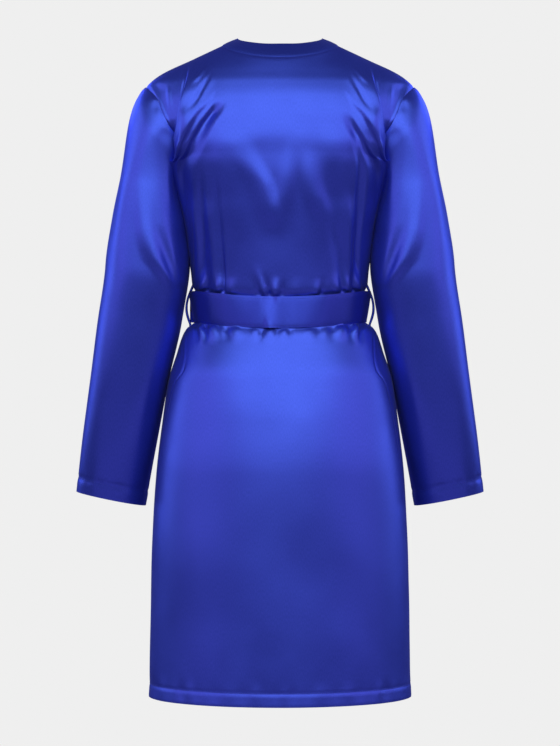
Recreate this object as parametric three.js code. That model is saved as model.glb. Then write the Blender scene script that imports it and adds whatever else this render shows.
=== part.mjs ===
// A satin dressing gown, worn and belted, with no wearer in it: back, two crossed fronts, set-in sleeves,
// a neckband that runs round the neck and down both front edges, a knotted belt and its two side loops.
// Millimetres, +Z up. The back faces -Y and the wearer's left is -X. The origin is the middle of the neck
// opening, three millimetres below the neck ends of the shoulder seams.
import * as THREE from "three";

// ---- Driving dimensions ----
const CLOTH = 1.6; // wall of a single layer of cloth
const TURNED = 2.4; // wall where a hem or cuff is turned up and stitched
const BAND_WALL = 2.2; // folded neckband
const SEAM = 0.3; // gap between two pieces at a seam
const HEM_Z = -971; // lower edge
const HEM_TURN = 20; // depth of the turned hem and cuffs
const UNDERARM_Z = -190;
const NECK_HALF = 88; // half width of the neck seam at the shoulders
const NECK_TOP = 3; // height of the neck seam at the shoulders
const NECK_DROP = 24; // how far it dips below that at the centre back
const SHOULDER = { x: 202, z: -59 }; // outer end of the shoulder seam
const NECK_ARCH = 0.65; // how squarely the back neck seam curves
const BAND_WIDTH = 32; // neckband down the fronts
const BAND_AT_NECK = { half: 63, back: 33, top: 14.5, dip: 12.5 }; // free edge of the band round the neck
const BAND_TURN_Z = 140; // height over which the band turns from the neck to the front edge
const WRAP_LIFT = 4.8; // how far the upper front lies over the lower one
const WRAP_FROM = { x: 112, over: 20, z: -165, down: 70 }; // where it starts to lift, and over what span

const BELT = { top: -365.5, bottom: -411.5, wall: 2, clear: 1.1, dip: 10, reach: 85 };
const KNOT = { half: 25, deep: 17, high: 28, rings: 14, around: 20, squareness: 0.82 };
const TAIL = { wide: 46, neck: 15, wall: 2, clear: 9.5, start: 12, columns: 4 };
const LOOP = { radius: 1.5, top: -360, bottom: -417, stand: 11.5, sides: 8, steps: 14 };

// ---- How finely the pieces are faceted ----
const BACK_COLUMNS = 36;
const NECK_COLUMNS = 8; // of those, the columns each side of the centre that end at the neck
const FRONT_COLUMNS = 14;
const ARMHOLE_ROWS = 10; // rows above the underarm, and half the facets round a sleeve
const SLEEVE_ROWS = 17;
const ROW_HEIGHTS = [
  HEM_Z, HEM_Z + HEM_TURN, -885, -800, -715, -635, -572, -526, -490, -462, -443, -430, -420, -412,
  -366, -356, -340, -315, -285, -250, -218, UNDERARM_Z,
];

const RAD = Math.PI / 180;
const LEFT = -1; // the wearer's left, seen on the left from behind
const RIGHT = 1;

// The general figure that the cloth goes round: half width, and depth behind and in front of the side line.
const FIGURE = [
  { z: 16, half: 60, back: 34, front: 3 },
  { z: NECK_TOP, half: 88, back: 44, front: 18 },
  { z: -18, half: 132.5, back: 57, front: 38 },
  { z: -42, half: 182, back: 73, front: 54 },
  { z: -59, half: 202, back: 84, front: 64 },
  { z: -85, half: 209, back: 97, front: 78 },
  { z: -110, half: 211, back: 104, front: 90 },
  { z: -142, half: 177, back: 107, front: 102 },
  { z: -166, half: 153, back: 106, front: 109 },
  { z: UNDERARM_Z, half: 146, back: 105, front: 114 },
  { z: -230, half: 142.5, back: 101, front: 118 },
  { z: -285, half: 138, back: 94, front: 112 },
  { z: -340, half: 133, back: 87.5, front: 102 },
  { z: -356, half: 131.5, back: 85.5, front: 98 },
  { z: -366, half: 127, back: 82.5, front: 94 },
  { z: -412, half: 127.5, back: 83, front: 94 },
  { z: -420, half: 139.5, back: 90, front: 99 },
  { z: -430, half: 146, back: 96, front: 102 },
  { z: -460, half: 156, back: 106, front: 108 },
  { z: -498, half: 168, back: 115, front: 113 },
  { z: -558, half: 177, back: 124, front: 118 },
  { z: -635, half: 185.5, back: 129, front: 122 },
  { z: -755, half: 192, back: 130, front: 126 },
  { z: HEM_Z, half: 196, back: 131, front: 131 },
];

// The shoulder seam, from the neck (0) to its outer end (1).
const SHOULDER_SEAM = [
  { at: 0, x: NECK_HALF, z: NECK_TOP },
  { at: 0.4, x: 132.5, z: -18 },
  { at: 0.83, x: 182, z: -42 },
  { at: 1, x: SHOULDER.x, z: SHOULDER.z },
];

// Where the side seam runs, in degrees round from the centre back.
const SIDE_SEAM = [
  { z: UNDERARM_Z, angle: 90 },
  { z: -412, angle: 88 },
  { z: -435, angle: 70 },
  { z: -483, angle: 61 },
  { z: -503, angle: 68 },
  { z: -600, angle: 78 },
  { z: -700, angle: 87 },
  { z: HEM_Z, angle: 89 },
];

// The armhole seam, from the underarm up to the shoulder: height, and half width behind and in front.
const ARMHOLE = [
  { at: 0, z: UNDERARM_Z, behind: 146, before: 146 },
  { at: 0.12, z: -178, behind: 142, before: 142 },
  { at: 0.25, z: -161, behind: 142, before: 139.5 },
  { at: 0.4, z: -142, behind: 149, before: 144 },
  { at: 0.55, z: -124, behind: 163, before: 156 },
  { at: 0.7, z: -104, behind: 173, before: 167 },
  { at: 0.85, z: -82, behind: 182, before: 179 },
  { at: 1, z: SHOULDER.z, behind: SHOULDER.x, before: SHOULDER.x },
];

// The seam between a front and its band: x is positive on the front's own side.
const FRONT_EDGE = [
  { z: NECK_TOP, x: NECK_HALF },
  { z: -30, x: 84 },
  { z: -80, x: 74 },
  { z: -140, x: 58 },
  { z: -200, x: 40 },
  { z: -260, x: 21 },
  { z: -320, x: 1 },
  { z: -366, x: -14 },
  { z: -412, x: -24 },
  { z: -480, x: -38 },
  { z: -620, x: -50 },
  { z: HEM_Z, x: -54 },
];

// Folds of the back, each from its upper to its lower end: sideways bow, half width and height of its rise.
const BACK_FOLDS = [
  { x: -128, z: -24, toX: -146, toZ: -235, bow: -9, half: 14, rise: -6 },
  { x: -116, z: -34, toX: -136, toZ: -250, bow: -9, half: 11, rise: 6 },
  { x: -97, z: -88, toX: -130, toZ: -250, bow: -13, half: 10, rise: -6 },
  { x: -164, z: -36, toX: -152, toZ: -132, bow: -2, half: 12, rise: -4 },
  { x: 128, z: -24, toX: 146, toZ: -235, bow: 9, half: 14, rise: -6 },
  { x: 116, z: -34, toX: 136, toZ: -250, bow: 9, half: 11, rise: 6 },
  { x: 97, z: -96, toX: 130, toZ: -250, bow: 12, half: 10, rise: -5 },
  { x: 164, z: -36, toX: 152, toZ: -132, bow: 2, half: 12, rise: -4 },
  { x: 18, z: -118, toX: 50, toZ: -215, bow: 4, half: 20, rise: 4 },
  { x: -56, z: -120, toX: -12, toZ: -230, bow: -6, half: 20, rise: 3.5 },
  { x: -114, z: -300, toX: -119, toZ: -365, bow: 0, half: 8, rise: 3.5 },
  { x: -104, z: -290, toX: -107, toZ: -365, bow: 0, half: 8, rise: -3 },
  { x: -86, z: -318, toX: -96, toZ: -365, bow: 0, half: 9, rise: 3 },
  { x: -84, z: -280, toX: -80, toZ: -365, bow: 0, half: 9, rise: -3 },
  { x: -33, z: -318, toX: -20, toZ: -365, bow: 0, half: 10, rise: -3 },
  { x: -10, z: -322, toX: -8, toZ: -365, bow: 0, half: 10, rise: 3.5 },
  { x: 56, z: -322, toX: 51, toZ: -365, bow: 0, half: 10, rise: 2.5 },
  { x: 92, z: -285, toX: 103, toZ: -365, bow: 0, half: 9, rise: -3.5 },
  { x: 112, z: -305, toX: 118, toZ: -365, bow: 0, half: 8, rise: 3.5 },
  { x: -115, z: -414, toX: -120, toZ: -475, bow: 0, half: 9, rise: -4 },
  { x: -74, z: -416, toX: -78, toZ: -462, bow: 0, half: 10, rise: -3 },
  { x: -27, z: -416, toX: -36, toZ: -462, bow: 0, half: 10, rise: -3.5 },
  { x: 12, z: -416, toX: 16, toZ: -458, bow: 0, half: 10, rise: -2.5 },
  { x: 70, z: -416, toX: 74, toZ: -460, bow: 0, half: 10, rise: -3 },
  { x: 113, z: -414, toX: 118, toZ: -475, bow: 0, half: 9, rise: -4 },
];

// Folds of the fronts.
const FRONT_FOLDS = [
  { x: -122, z: -120, toX: -104, toZ: -300, bow: 0, half: 14, rise: 4 },
  { x: -108, z: -150, toX: -88, toZ: -360, bow: 0, half: 11, rise: -4.5 },
  { x: 120, z: -115, toX: 106, toZ: -290, bow: 0, half: 14, rise: 4 },
  { x: 107, z: -140, toX: 84, toZ: -362, bow: 0, half: 11, rise: -4.5 },
  { x: -92, z: -250, toX: -68, toZ: -365, bow: 0, half: 9, rise: 3.5 },
  { x: -62, z: -290, toX: -44, toZ: -365, bow: 0, half: 9, rise: -3.5 },
  { x: 88, z: -270, toX: 64, toZ: -365, bow: 0, half: 9, rise: 3.5 },
  { x: 60, z: -300, toX: 42, toZ: -365, bow: 0, half: 9, rise: -3 },
  { x: -104, z: -412, toX: -116, toZ: -480, bow: 0, half: 9, rise: -3.5 },
  { x: -62, z: -414, toX: -74, toZ: -520, bow: 0, half: 11, rise: -4 },
  { x: -34, z: -416, toX: -42, toZ: -490, bow: 0, half: 9, rise: 3 },
  { x: 36, z: -416, toX: 44, toZ: -530, bow: 0, half: 11, rise: -4 },
  { x: 68, z: -414, toX: 84, toZ: -500, bow: 0, half: 10, rise: 3.5 },
  { x: 104, z: -412, toX: 118, toZ: -475, bow: 0, half: 9, rise: -3.5 },
];

// Sleeve rings below the armhole, down the arm: centre, half width across and half depth front to back.
const SLEEVE = [
  { at: 0.25, x: 193.6, y: 3, z: -215, half: 48.9, deep: 62, tilt: 14 },
  { at: 0.38, x: 197, y: -2, z: -268, half: 55.4, deep: 62, tilt: 9 },
  { at: 0.5, x: 200, y: -2, z: -333, half: 62, deep: 61, tilt: 8 },
  { at: 0.62, x: 210, y: 4, z: -405, half: 62, deep: 59, tilt: 9 },
  { at: 0.75, x: 225.5, y: 14, z: -490, half: 58.5, deep: 56, tilt: 11 },
  { at: 0.88, x: 243, y: 32, z: -590, half: 55.9, deep: 52, tilt: 12 },
  { at: 1, x: 256.7, y: 54, z: -678, half: 53.5, deep: 48, tilt: 11.5 },
];

// How steeply the sleeve leaves the armhole, from the underarm (0) to the shoulder (1), in degrees.
const SLEEVE_START = [
  { at: 0, fall: 76 },
  { at: 0.25, fall: 52 },
  { at: 0.5, fall: 22 },
  { at: 0.8, fall: 24 },
  { at: 1, fall: 46 },
];

// Soft folds round a sleeve: where they run down it, at what angle round it, and their rise.
const SLEEVE_FOLDS = [
  { at: 0.3, toAt: 0.62, angle: 20, toAngle: 62, half: 17, rise: 4 },
  { at: 0.34, toAt: 0.66, angle: 48, toAngle: 92, half: 15, rise: -4 },
  { at: 0.3, toAt: 0.55, angle: 150, toAngle: 118, half: 16, rise: -3.5 },
];

// ---- Small mathematics ----

// A smooth ramp from 0 to 1.
function ramp(value) {
  const t = Math.min(1, Math.max(0, value));
  return t * t * (3 - 2 * t);
}

// A rounded bump: 1 in the middle, 0 at one half width and beyond.
function bump(value) {
  return Math.abs(value) < 1 ? (1 + Math.cos(Math.PI * value)) / 2 : 0;
}

// The slope of a table's curve at row i, limited so that the curve never overshoots its rows.
function slope(table, key, name, i) {
  const rise = (j) => (table[j + 1][name] - table[j][name]) / (table[j + 1][key] - table[j][key]);
  if (i === 0) return rise(0);
  if (i === table.length - 1) return rise(i - 1);
  const before = rise(i - 1);
  const after = rise(i);
  return before * after <= 0 ? 0 : (2 * before * after) / (before + after);
}

// One column of a table, read at any value of its key column along a smooth curve.
function read(table, key, value, name) {
  const up = table[0][key] < table[table.length - 1][key];
  const inside = (i) => (up ? value <= table[i][key] : value >= table[i][key]);
  let i = 1;
  while (i < table.length - 1 && !inside(i)) i += 1;
  const from = table[i - 1];
  const to = table[i];
  const span = to[key] - from[key];
  const t = Math.min(1, Math.max(0, (value - from[key]) / span));
  const m0 = slope(table, key, name, i - 1) * span;
  const m1 = slope(table, key, name, i) * span;
  const t2 = t * t;
  const t3 = t2 * t;
  return (
    (2 * t3 - 3 * t2 + 1) * from[name] + (t3 - 2 * t2 + t) * m0 + (3 * t2 - 2 * t3) * to[name] + (t3 - t2) * m1
  );
}

// ---- The cloth's surface ----

// How far the folds of a table raise the cloth at a place seen from the front or back.
function foldRise(folds, x, z) {
  let rise = 0;
  for (const fold of folds) {
    const along = (fold.z - z) / (fold.z - fold.toZ);
    if (along <= 0 || along >= 1) continue;
    const line = fold.x + (fold.toX - fold.x) * along + fold.bow * Math.sin(Math.PI * along);
    const taper = Math.sin(Math.PI * Math.pow(along, 1.4));
    rise += fold.rise * taper * bump((x - line) / fold.half);
  }
  return rise;
}

// Lowers a point near the waist as the belt's dip at the middle of the back and front does.
function sink(p) {
  const middle = (BELT.top + BELT.bottom) / 2;
  const near = 1 - ramp((Math.abs(p.z - middle) - 25) / BELT.reach);
  const across = Math.min(1, Math.abs(p.x) / read(FIGURE, "z", p.z, "half"));
  return -BELT.dip * (1 - across ** 2) * near;
}

// A point of the figure by angle from the centre back (half a turn is the centre front) and height.
function figureByAngle(side, angle, z) {
  const depth = Math.cos(angle) > 0 ? read(FIGURE, "z", z, "back") : read(FIGURE, "z", z, "front");
  return new THREE.Vector3(
    side * read(FIGURE, "z", z, "half") * Math.sin(angle),
    -depth * Math.cos(angle),
    z,
  );
}

// A point of the figure by its place as seen from behind (face -1) or in front (face 1). The shoulder
// seam runs along the ridge, between back and front.
function figureByPlace(face, x, z, onRidge = false) {
  if (onRidge) return new THREE.Vector3(x, 0, z);
  const across = Math.min(1, Math.abs(x) / read(FIGURE, "z", z, "half"));
  const depth = read(FIGURE, "z", z, face < 0 ? "back" : "front");
  return new THREE.Vector3(x, face * depth * Math.sqrt(1 - across * across), z);
}

// Outward normal of the figure at a point on it, the same for every piece that meets there.
function figureNormal(p) {
  const name = p.y < 0 ? "back" : "front";
  const half = read(FIGURE, "z", p.z, "half");
  const depth = read(FIGURE, "z", p.z, name);
  const halfSlope = (read(FIGURE, "z", p.z + 1, "half") - read(FIGURE, "z", p.z - 1, "half")) / 2;
  const depthSlope = (read(FIGURE, "z", p.z + 1, name) - read(FIGURE, "z", p.z - 1, name)) / 2;
  const along = -(p.x ** 2 * halfSlope) / half ** 3 - (p.y ** 2 * depthSlope) / depth ** 3;
  return new THREE.Vector3(p.x / half ** 2, p.y / depth ** 2, along).normalize();
}

const figureNormals = (grid) => grid.map((row) => row.map(figureNormal));

// Lift of the upper front over the lower one, by distance across towards the other side.
function wrapLift(side, x, z) {
  if (side === LEFT) return 0;
  return WRAP_LIFT * ramp((WRAP_FROM.x - x) / WRAP_FROM.over) * ramp((WRAP_FROM.z - z) / WRAP_FROM.down);
}

// ---- Grids: rows of points, made into closed walls ----

// Normals of a grid of points, from the way its rows and columns run.
function normalsOf(grid, wrap) {
  const rows = grid.length;
  const columns = grid[0].length;
  return grid.map((row, r) =>
    row.map((_, c) => {
      const before = wrap ? (c + columns - 1) % columns : Math.max(0, c - 1);
      const after = wrap ? (c + 1) % columns : Math.min(columns - 1, c + 1);
      const across = row[after].clone().sub(row[before]);
      const along = grid[Math.min(rows - 1, r + 1)][c].clone().sub(grid[Math.max(0, r - 1)][c]);
      return across.cross(along).normalize();
    }),
  );
}

// Moves each point of a grid out along its normal.
function moveOut(grid, normals, distance) {
  return grid.map((row, r) =>
    row.map((p, c) => p.clone().addScaledVector(normals[r][c], distance(r, c, p))),
  );
}

// Draws the edge points of a grid in, half a seam's gap, so that neighbours don't touch.
function seamIn(grid, edges) {
  const rows = grid.length;
  const columns = grid[0].length;
  const step = (from, to) => {
    const way = to.clone().sub(from);
    return from.clone().addScaledVector(way, SEAM / way.length());
  };
  const out = grid.map((row) => row.map((p) => p.clone()));
  if (edges.includes("first")) out.forEach((row) => (row[0] = step(row[0], row[1])));
  if (edges.includes("last")) {
    out.forEach((row) => (row[columns - 1] = step(row[columns - 1], row[columns - 2])));
  }
  if (edges.includes("top")) out[rows - 1] = out[rows - 1].map((p, c) => step(p, out[rows - 2][c]));
  if (edges.includes("bottom")) out[0] = out[0].map((p, c) => step(p, out[1][c]));
  return out;
}

// A closed wall: the grid is its outer face, and the inner face lies one wall's thickness inside it.
function wallOf(grid, normals, thickness, wrap = false) {
  const rows = grid.length;
  const columns = grid[0].length;
  const inner = grid.map((row, r) =>
    row.map((p, c) => p.clone().addScaledVector(normals[r][c], -thickness(r, c))),
  );
  const points = [...grid.flat(), ...inner.flat()].flatMap((p) => [p.x, p.y, p.z]);
  const outer = (r, c) => r * columns + (wrap ? c % columns : c);
  const inside = (r, c) => rows * columns + outer(r, c);
  const faces = [];
  const quad = (a, b, c, d) => faces.push(a, b, c, a, c, d);
  const last = wrap ? columns : columns - 1;
  for (let r = 0; r < rows - 1; r += 1) {
    for (let c = 0; c < last; c += 1) {
      quad(outer(r, c), outer(r, c + 1), outer(r + 1, c + 1), outer(r + 1, c));
      quad(inside(r, c), inside(r + 1, c), inside(r + 1, c + 1), inside(r, c + 1));
    }
  }
  for (let c = 0; c < last; c += 1) {
    quad(outer(0, c), inside(0, c), inside(0, c + 1), outer(0, c + 1));
    quad(outer(rows - 1, c), outer(rows - 1, c + 1), inside(rows - 1, c + 1), inside(rows - 1, c));
  }
  for (let r = 0; r < rows - 1 && !wrap; r += 1) {
    quad(outer(r, 0), outer(r + 1, 0), inside(r + 1, 0), inside(r, 0));
    quad(outer(r, last), inside(r, last), inside(r + 1, last), outer(r + 1, last));
  }
  const geometry = new THREE.BufferGeometry();
  geometry.setAttribute("position", new THREE.Float32BufferAttribute(points, 3));
  geometry.setIndex(faces);
  return geometry;
}

// Turns a closed geometry's faces to point out, by the sign of the volume they hold.
function facingOut(geometry) {
  const p = geometry.attributes.position;
  const index = geometry.index.array;
  const corner = (i) => new THREE.Vector3().fromBufferAttribute(p, index[i]);
  let volume = 0;
  for (let i = 0; i < index.length; i += 3) volume += corner(i).dot(corner(i + 1).cross(corner(i + 2)));
  if (volume < 0) {
    for (let i = 0; i < index.length; i += 3) [index[i + 1], index[i + 2]] = [index[i + 2], index[i + 1]];
  }
  geometry.computeVertexNormals();
  return geometry;
}

// ---- Materials ----
const satin = new THREE.MeshStandardMaterial({ color: 0x3340b0, roughness: 0.42, metalness: 0 });
const bandSatin = new THREE.MeshStandardMaterial({ color: 0x2a358f, roughness: 0.45, metalness: 0 });
const beltSatin = new THREE.MeshStandardMaterial({ color: 0x303ca6, roughness: 0.4, metalness: 0 });
const cordSatin = new THREE.MeshStandardMaterial({ color: 0x27309a, roughness: 0.5, metalness: 0 });

const gown = new THREE.Group();

function addPiece(name, geometry, material) {
  const points = geometry.attributes.position;
  for (let i = 0; i < points.count; i += 1) {
    const p = new THREE.Vector3().fromBufferAttribute(points, i);
    points.setZ(i, p.z + sink(p));
  }
  const mesh = new THREE.Mesh(facingOut(geometry), material);
  mesh.name = name;
  gown.add(mesh);
}

// ---- Body panels ----

// How far up the armhole each row above the underarm lies, closer together towards the shoulder.
function armholeShare(row) {
  const share = row / ARMHOLE_ROWS;
  return share * (1.35 - 0.35 * share);
}

// Height of a row above the underarm where it meets the neckband at the front.
function frontEdgeZ(row) {
  return UNDERARM_Z + (NECK_TOP - UNDERARM_Z) * armholeShare(row);
}

function backNeckZ(x) {
  return NECK_TOP - NECK_DROP * (1 - Math.min(1, (x / NECK_HALF) ** 2)) ** NECK_ARCH;
}

// A point of the line that ends the back at the top: neck seam, then shoulder seam. share is 0 to 1.
function backTop(share) {
  const turn = (2 * NECK_COLUMNS) / BACK_COLUMNS;
  if (share <= turn) {
    const x = NECK_HALF * Math.sin((share / turn) * 90 * RAD);
    return { x, z: backNeckZ(x) };
  }
  const along = (share - turn) / (1 - turn);
  return { x: read(SHOULDER_SEAM, "at", along, "x"), z: read(SHOULDER_SEAM, "at", along, "z") };
}

// The base surface of the back, before folds, with the rows from the hem up to the neck.
function backGrid() {
  const shares = Array.from({ length: BACK_COLUMNS + 1 }, (_, c) => (2 * c) / BACK_COLUMNS - 1);
  const rows = ROW_HEIGHTS.map((z) =>
    shares.map((share) => {
      const angle = read(SIDE_SEAM, "z", z, "angle") * RAD * Math.abs(share);
      return figureByAngle(Math.sign(share), angle, z);
    }),
  );
  const foot = read(FIGURE, "z", UNDERARM_Z, "half");
  for (let row = 1; row <= ARMHOLE_ROWS; row += 1) {
    const up = armholeShare(row);
    const armX = read(ARMHOLE, "at", up, "behind");
    const armZ = read(ARMHOLE, "at", up, "z");
    rows.push(
      shares.map((share) => {
        const s = Math.abs(share);
        const top = backTop(s);
        const bottomX = foot * Math.sin(90 * RAD * s);
        const x = (1 - up) * bottomX + up * top.x + s * (armX - (1 - up) * foot - up * SHOULDER.x);
        const z = up * top.z + (1 - s) * (1 - up) * UNDERARM_Z + s * (armZ - up * SHOULDER.z);
        const onSeam = row === ARMHOLE_ROWS && s * BACK_COLUMNS >= 2 * NECK_COLUMNS;
        return figureByPlace(-1, Math.sign(share) * x, z, onSeam);
      }),
    );
  }
  return rows;
}

// The base surface of one front, from its side seam and armhole (first column) to the band's seam.
function frontGrid(side) {
  const shares = Array.from({ length: FRONT_COLUMNS + 1 }, (_, c) => c / FRONT_COLUMNS);
  const edgeAngle = (z) =>
    Math.PI - Math.asin(read(FRONT_EDGE, "z", z, "x") / read(FIGURE, "z", z, "half"));
  const rows = ROW_HEIGHTS.map((z) =>
    shares.map((share) => {
      const from = read(SIDE_SEAM, "z", z, "angle") * RAD;
      const angle = from + (edgeAngle(z) - from) * share;
      return figureByAngle(side, angle, z);
    }),
  );
  const foot = read(FIGURE, "z", UNDERARM_Z, "half");
  const footEdge = read(FRONT_EDGE, "z", UNDERARM_Z, "x");
  const footEdgeAngle = edgeAngle(UNDERARM_Z);
  for (let row = 1; row <= ARMHOLE_ROWS; row += 1) {
    const up = armholeShare(row);
    const armX = read(ARMHOLE, "at", up, "before");
    const armZ = read(ARMHOLE, "at", up, "z");
    const edgeZ = frontEdgeZ(row);
    const edgeX = read(FRONT_EDGE, "z", edgeZ, "x");
    rows.push(
      shares.map((share) => {
        const topX = read(SHOULDER_SEAM, "at", 1 - share, "x");
        const topZ = read(SHOULDER_SEAM, "at", 1 - share, "z");
        const bottomX = foot * Math.sin(90 * RAD + (footEdgeAngle - 90 * RAD) * share);
        const cornersX =
          (1 - up) * ((1 - share) * foot + share * footEdge) +
          up * ((1 - share) * SHOULDER.x + share * NECK_HALF);
        const x = (1 - up) * bottomX + up * topX + (1 - share) * armX + share * edgeX - cornersX;
        const cornersZ = (1 - up) * UNDERARM_Z + up * ((1 - share) * SHOULDER.z + share * NECK_TOP);
        const z = (1 - up) * UNDERARM_Z + up * topZ + (1 - share) * armZ + share * edgeZ - cornersZ;
        return figureByPlace(1, side * x, z, row === ARMHOLE_ROWS);
      }),
    );
  }
  return rows;
}

// Fades folds out near an edge that another piece is sewn to, so that both keep the same seam line.
function edgeFade(column, columns) {
  return ramp(Math.min(column, columns - column) / 2);
}

const hemWall = (row) => (row < 2 ? TURNED : CLOTH); // the two lowest rows bound the turned hem

function makeBack() {
  const base = backGrid();
  const normals = figureNormals(base);
  const folded = moveOut(base, normals, (r, c, p) => {
    const fade = edgeFade(c, BACK_COLUMNS) * ramp((base.length - 1 - r) / 2);
    return foldRise(BACK_FOLDS, p.x, p.z) * fade;
  });
  addPiece("back", wallOf(seamIn(folded, ["first", "last", "top"]), normals, hemWall), satin);
}

function makeFront(side, name) {
  const base = frontGrid(side);
  const normals = figureNormals(base);
  const folded = moveOut(base, normals, (r, c, p) => {
    const fade = ramp(c / 2) * ramp((base.length - 1 - r) / 2);
    return foldRise(FRONT_FOLDS, p.x, p.z) * fade + wrapLift(side, side * p.x, p.z);
  });
  addPiece(name, wallOf(seamIn(folded, ["first", "last", "top"]), normals, hemWall), satin);
}

// ---- Neckband ----

// A point of the band round the back of the neck: across is 0 at the seam and 1 at the free edge.
function neckBandPoint(angle, across) {
  const seamX = NECK_HALF * Math.sin(angle);
  const seam = figureByPlace(-1, seamX, backNeckZ(seamX));
  const free = new THREE.Vector3(
    BAND_AT_NECK.half * Math.sin(angle),
    -BAND_AT_NECK.back * Math.cos(angle),
    BAND_AT_NECK.top - BAND_AT_NECK.dip * Math.cos(angle),
  );
  return seam.lerp(free, across);
}

// A point of the band down one front edge, by the height of its seam.
function frontBandPoint(side, z, across) {
  const turn = ramp((NECK_TOP - z) / BAND_TURN_Z);
  const neckWidth = NECK_HALF - BAND_AT_NECK.half;
  const width = neckWidth + (BAND_WIDTH - neckWidth) * turn;
  const x = read(FRONT_EDGE, "z", z, "x") - width * across;
  const height = z + (BAND_AT_NECK.top - NECK_TOP) * (1 - turn) * across;
  return figureByPlace(1, side * x, height, z === NECK_TOP);
}

const BAND_STRIPS = 2; // facets across the band
const NECK_STEPS = 2 * NECK_COLUMNS;

function makeNeckbandBack() {
  const grid = [];
  for (let strip = 0; strip <= BAND_STRIPS; strip += 1) {
    const row = [];
    for (let step = 0; step <= NECK_STEPS; step += 1) {
      row.push(neckBandPoint(((2 * step) / NECK_STEPS - 1) * 90 * RAD, strip / BAND_STRIPS));
    }
    grid.push(row);
  }
  const shared = (r, c) => r === 0 || c === 0 || c === NECK_STEPS;
  const normals = normalsOf(grid).map((row, r) =>
    row.map((n, c) => (shared(r, c) ? figureNormal(grid[r][c]) : n)),
  );
  const held = seamIn(grid, ["first", "last", "bottom"]);
  addPiece("neckband_back", wallOf(held, normals, () => BAND_WALL), bandSatin);
}

function makeNeckbandFront(side, name) {
  const heights = [];
  for (let row = ARMHOLE_ROWS; row >= 1; row -= 1) heights.push(frontEdgeZ(row));
  heights.push(...ROW_HEIGHTS.slice().reverse());
  const grid = [];
  for (let strip = 0; strip <= BAND_STRIPS; strip += 1) {
    grid.push(heights.map((z) => frontBandPoint(side, z, strip / BAND_STRIPS)));
  }
  const normals = figureNormals(grid);
  const lifted = moveOut(grid, normals, (r, c, p) => {
    const fade = ramp(c / 2);
    return foldRise(FRONT_FOLDS, p.x, p.z) * fade + wrapLift(side, side * p.x, p.z);
  });
  const held = seamIn(lifted, ["first", "bottom"]);
  addPiece(name, wallOf(held, normals, () => BAND_WALL), bandSatin);
}

// ---- Sleeves ----

// The armhole seam as a ring: up the back from the underarm, over the shoulder and down the front.
function armholeRing(side) {
  const ring = [];
  const point = (row, name, face) => {
    const up = armholeShare(row);
    const x = read(ARMHOLE, "at", up, name);
    return figureByPlace(face, side * x, read(ARMHOLE, "at", up, "z"));
  };
  for (let row = 0; row < ARMHOLE_ROWS; row += 1) ring.push(point(row, "behind", -1));
  for (let row = ARMHOLE_ROWS; row > 0; row -= 1) ring.push(point(row, "before", 1));
  return ring;
}

// A ring of the sleeve tube below the armhole, turned round from the underarm by way of the back.
function sleeveRing(side, at, count) {
  const row = (name) => read(SLEEVE, "at", at, name);
  const tilt = row("tilt") * RAD;
  const ring = [];
  for (let i = 0; i < count; i += 1) {
    const angle = (i / count) * 360 * RAD;
    const inward = row("half") * Math.cos(angle);
    const back = row("deep") * Math.sin(angle);
    ring.push(
      new THREE.Vector3(
        side * (row("x") - inward * Math.cos(tilt)),
        row("y") - back,
        row("z") - inward * Math.sin(tilt),
      ),
    );
  }
  return ring;
}

// How far the sleeve's soft folds raise it at a place along and round it, in millimetres.
function sleeveFold(at, angle, girth) {
  let rise = 0;
  for (const fold of SLEEVE_FOLDS) {
    const along = (at - fold.at) / (fold.toAt - fold.at);
    if (along <= 0 || along >= 1) continue;
    const line = fold.angle + (fold.toAngle - fold.angle) * along;
    rise += fold.rise * Math.sin(Math.PI * along) * bump(((angle - line) * girth) / 360 / fold.half);
  }
  return rise;
}

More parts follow.
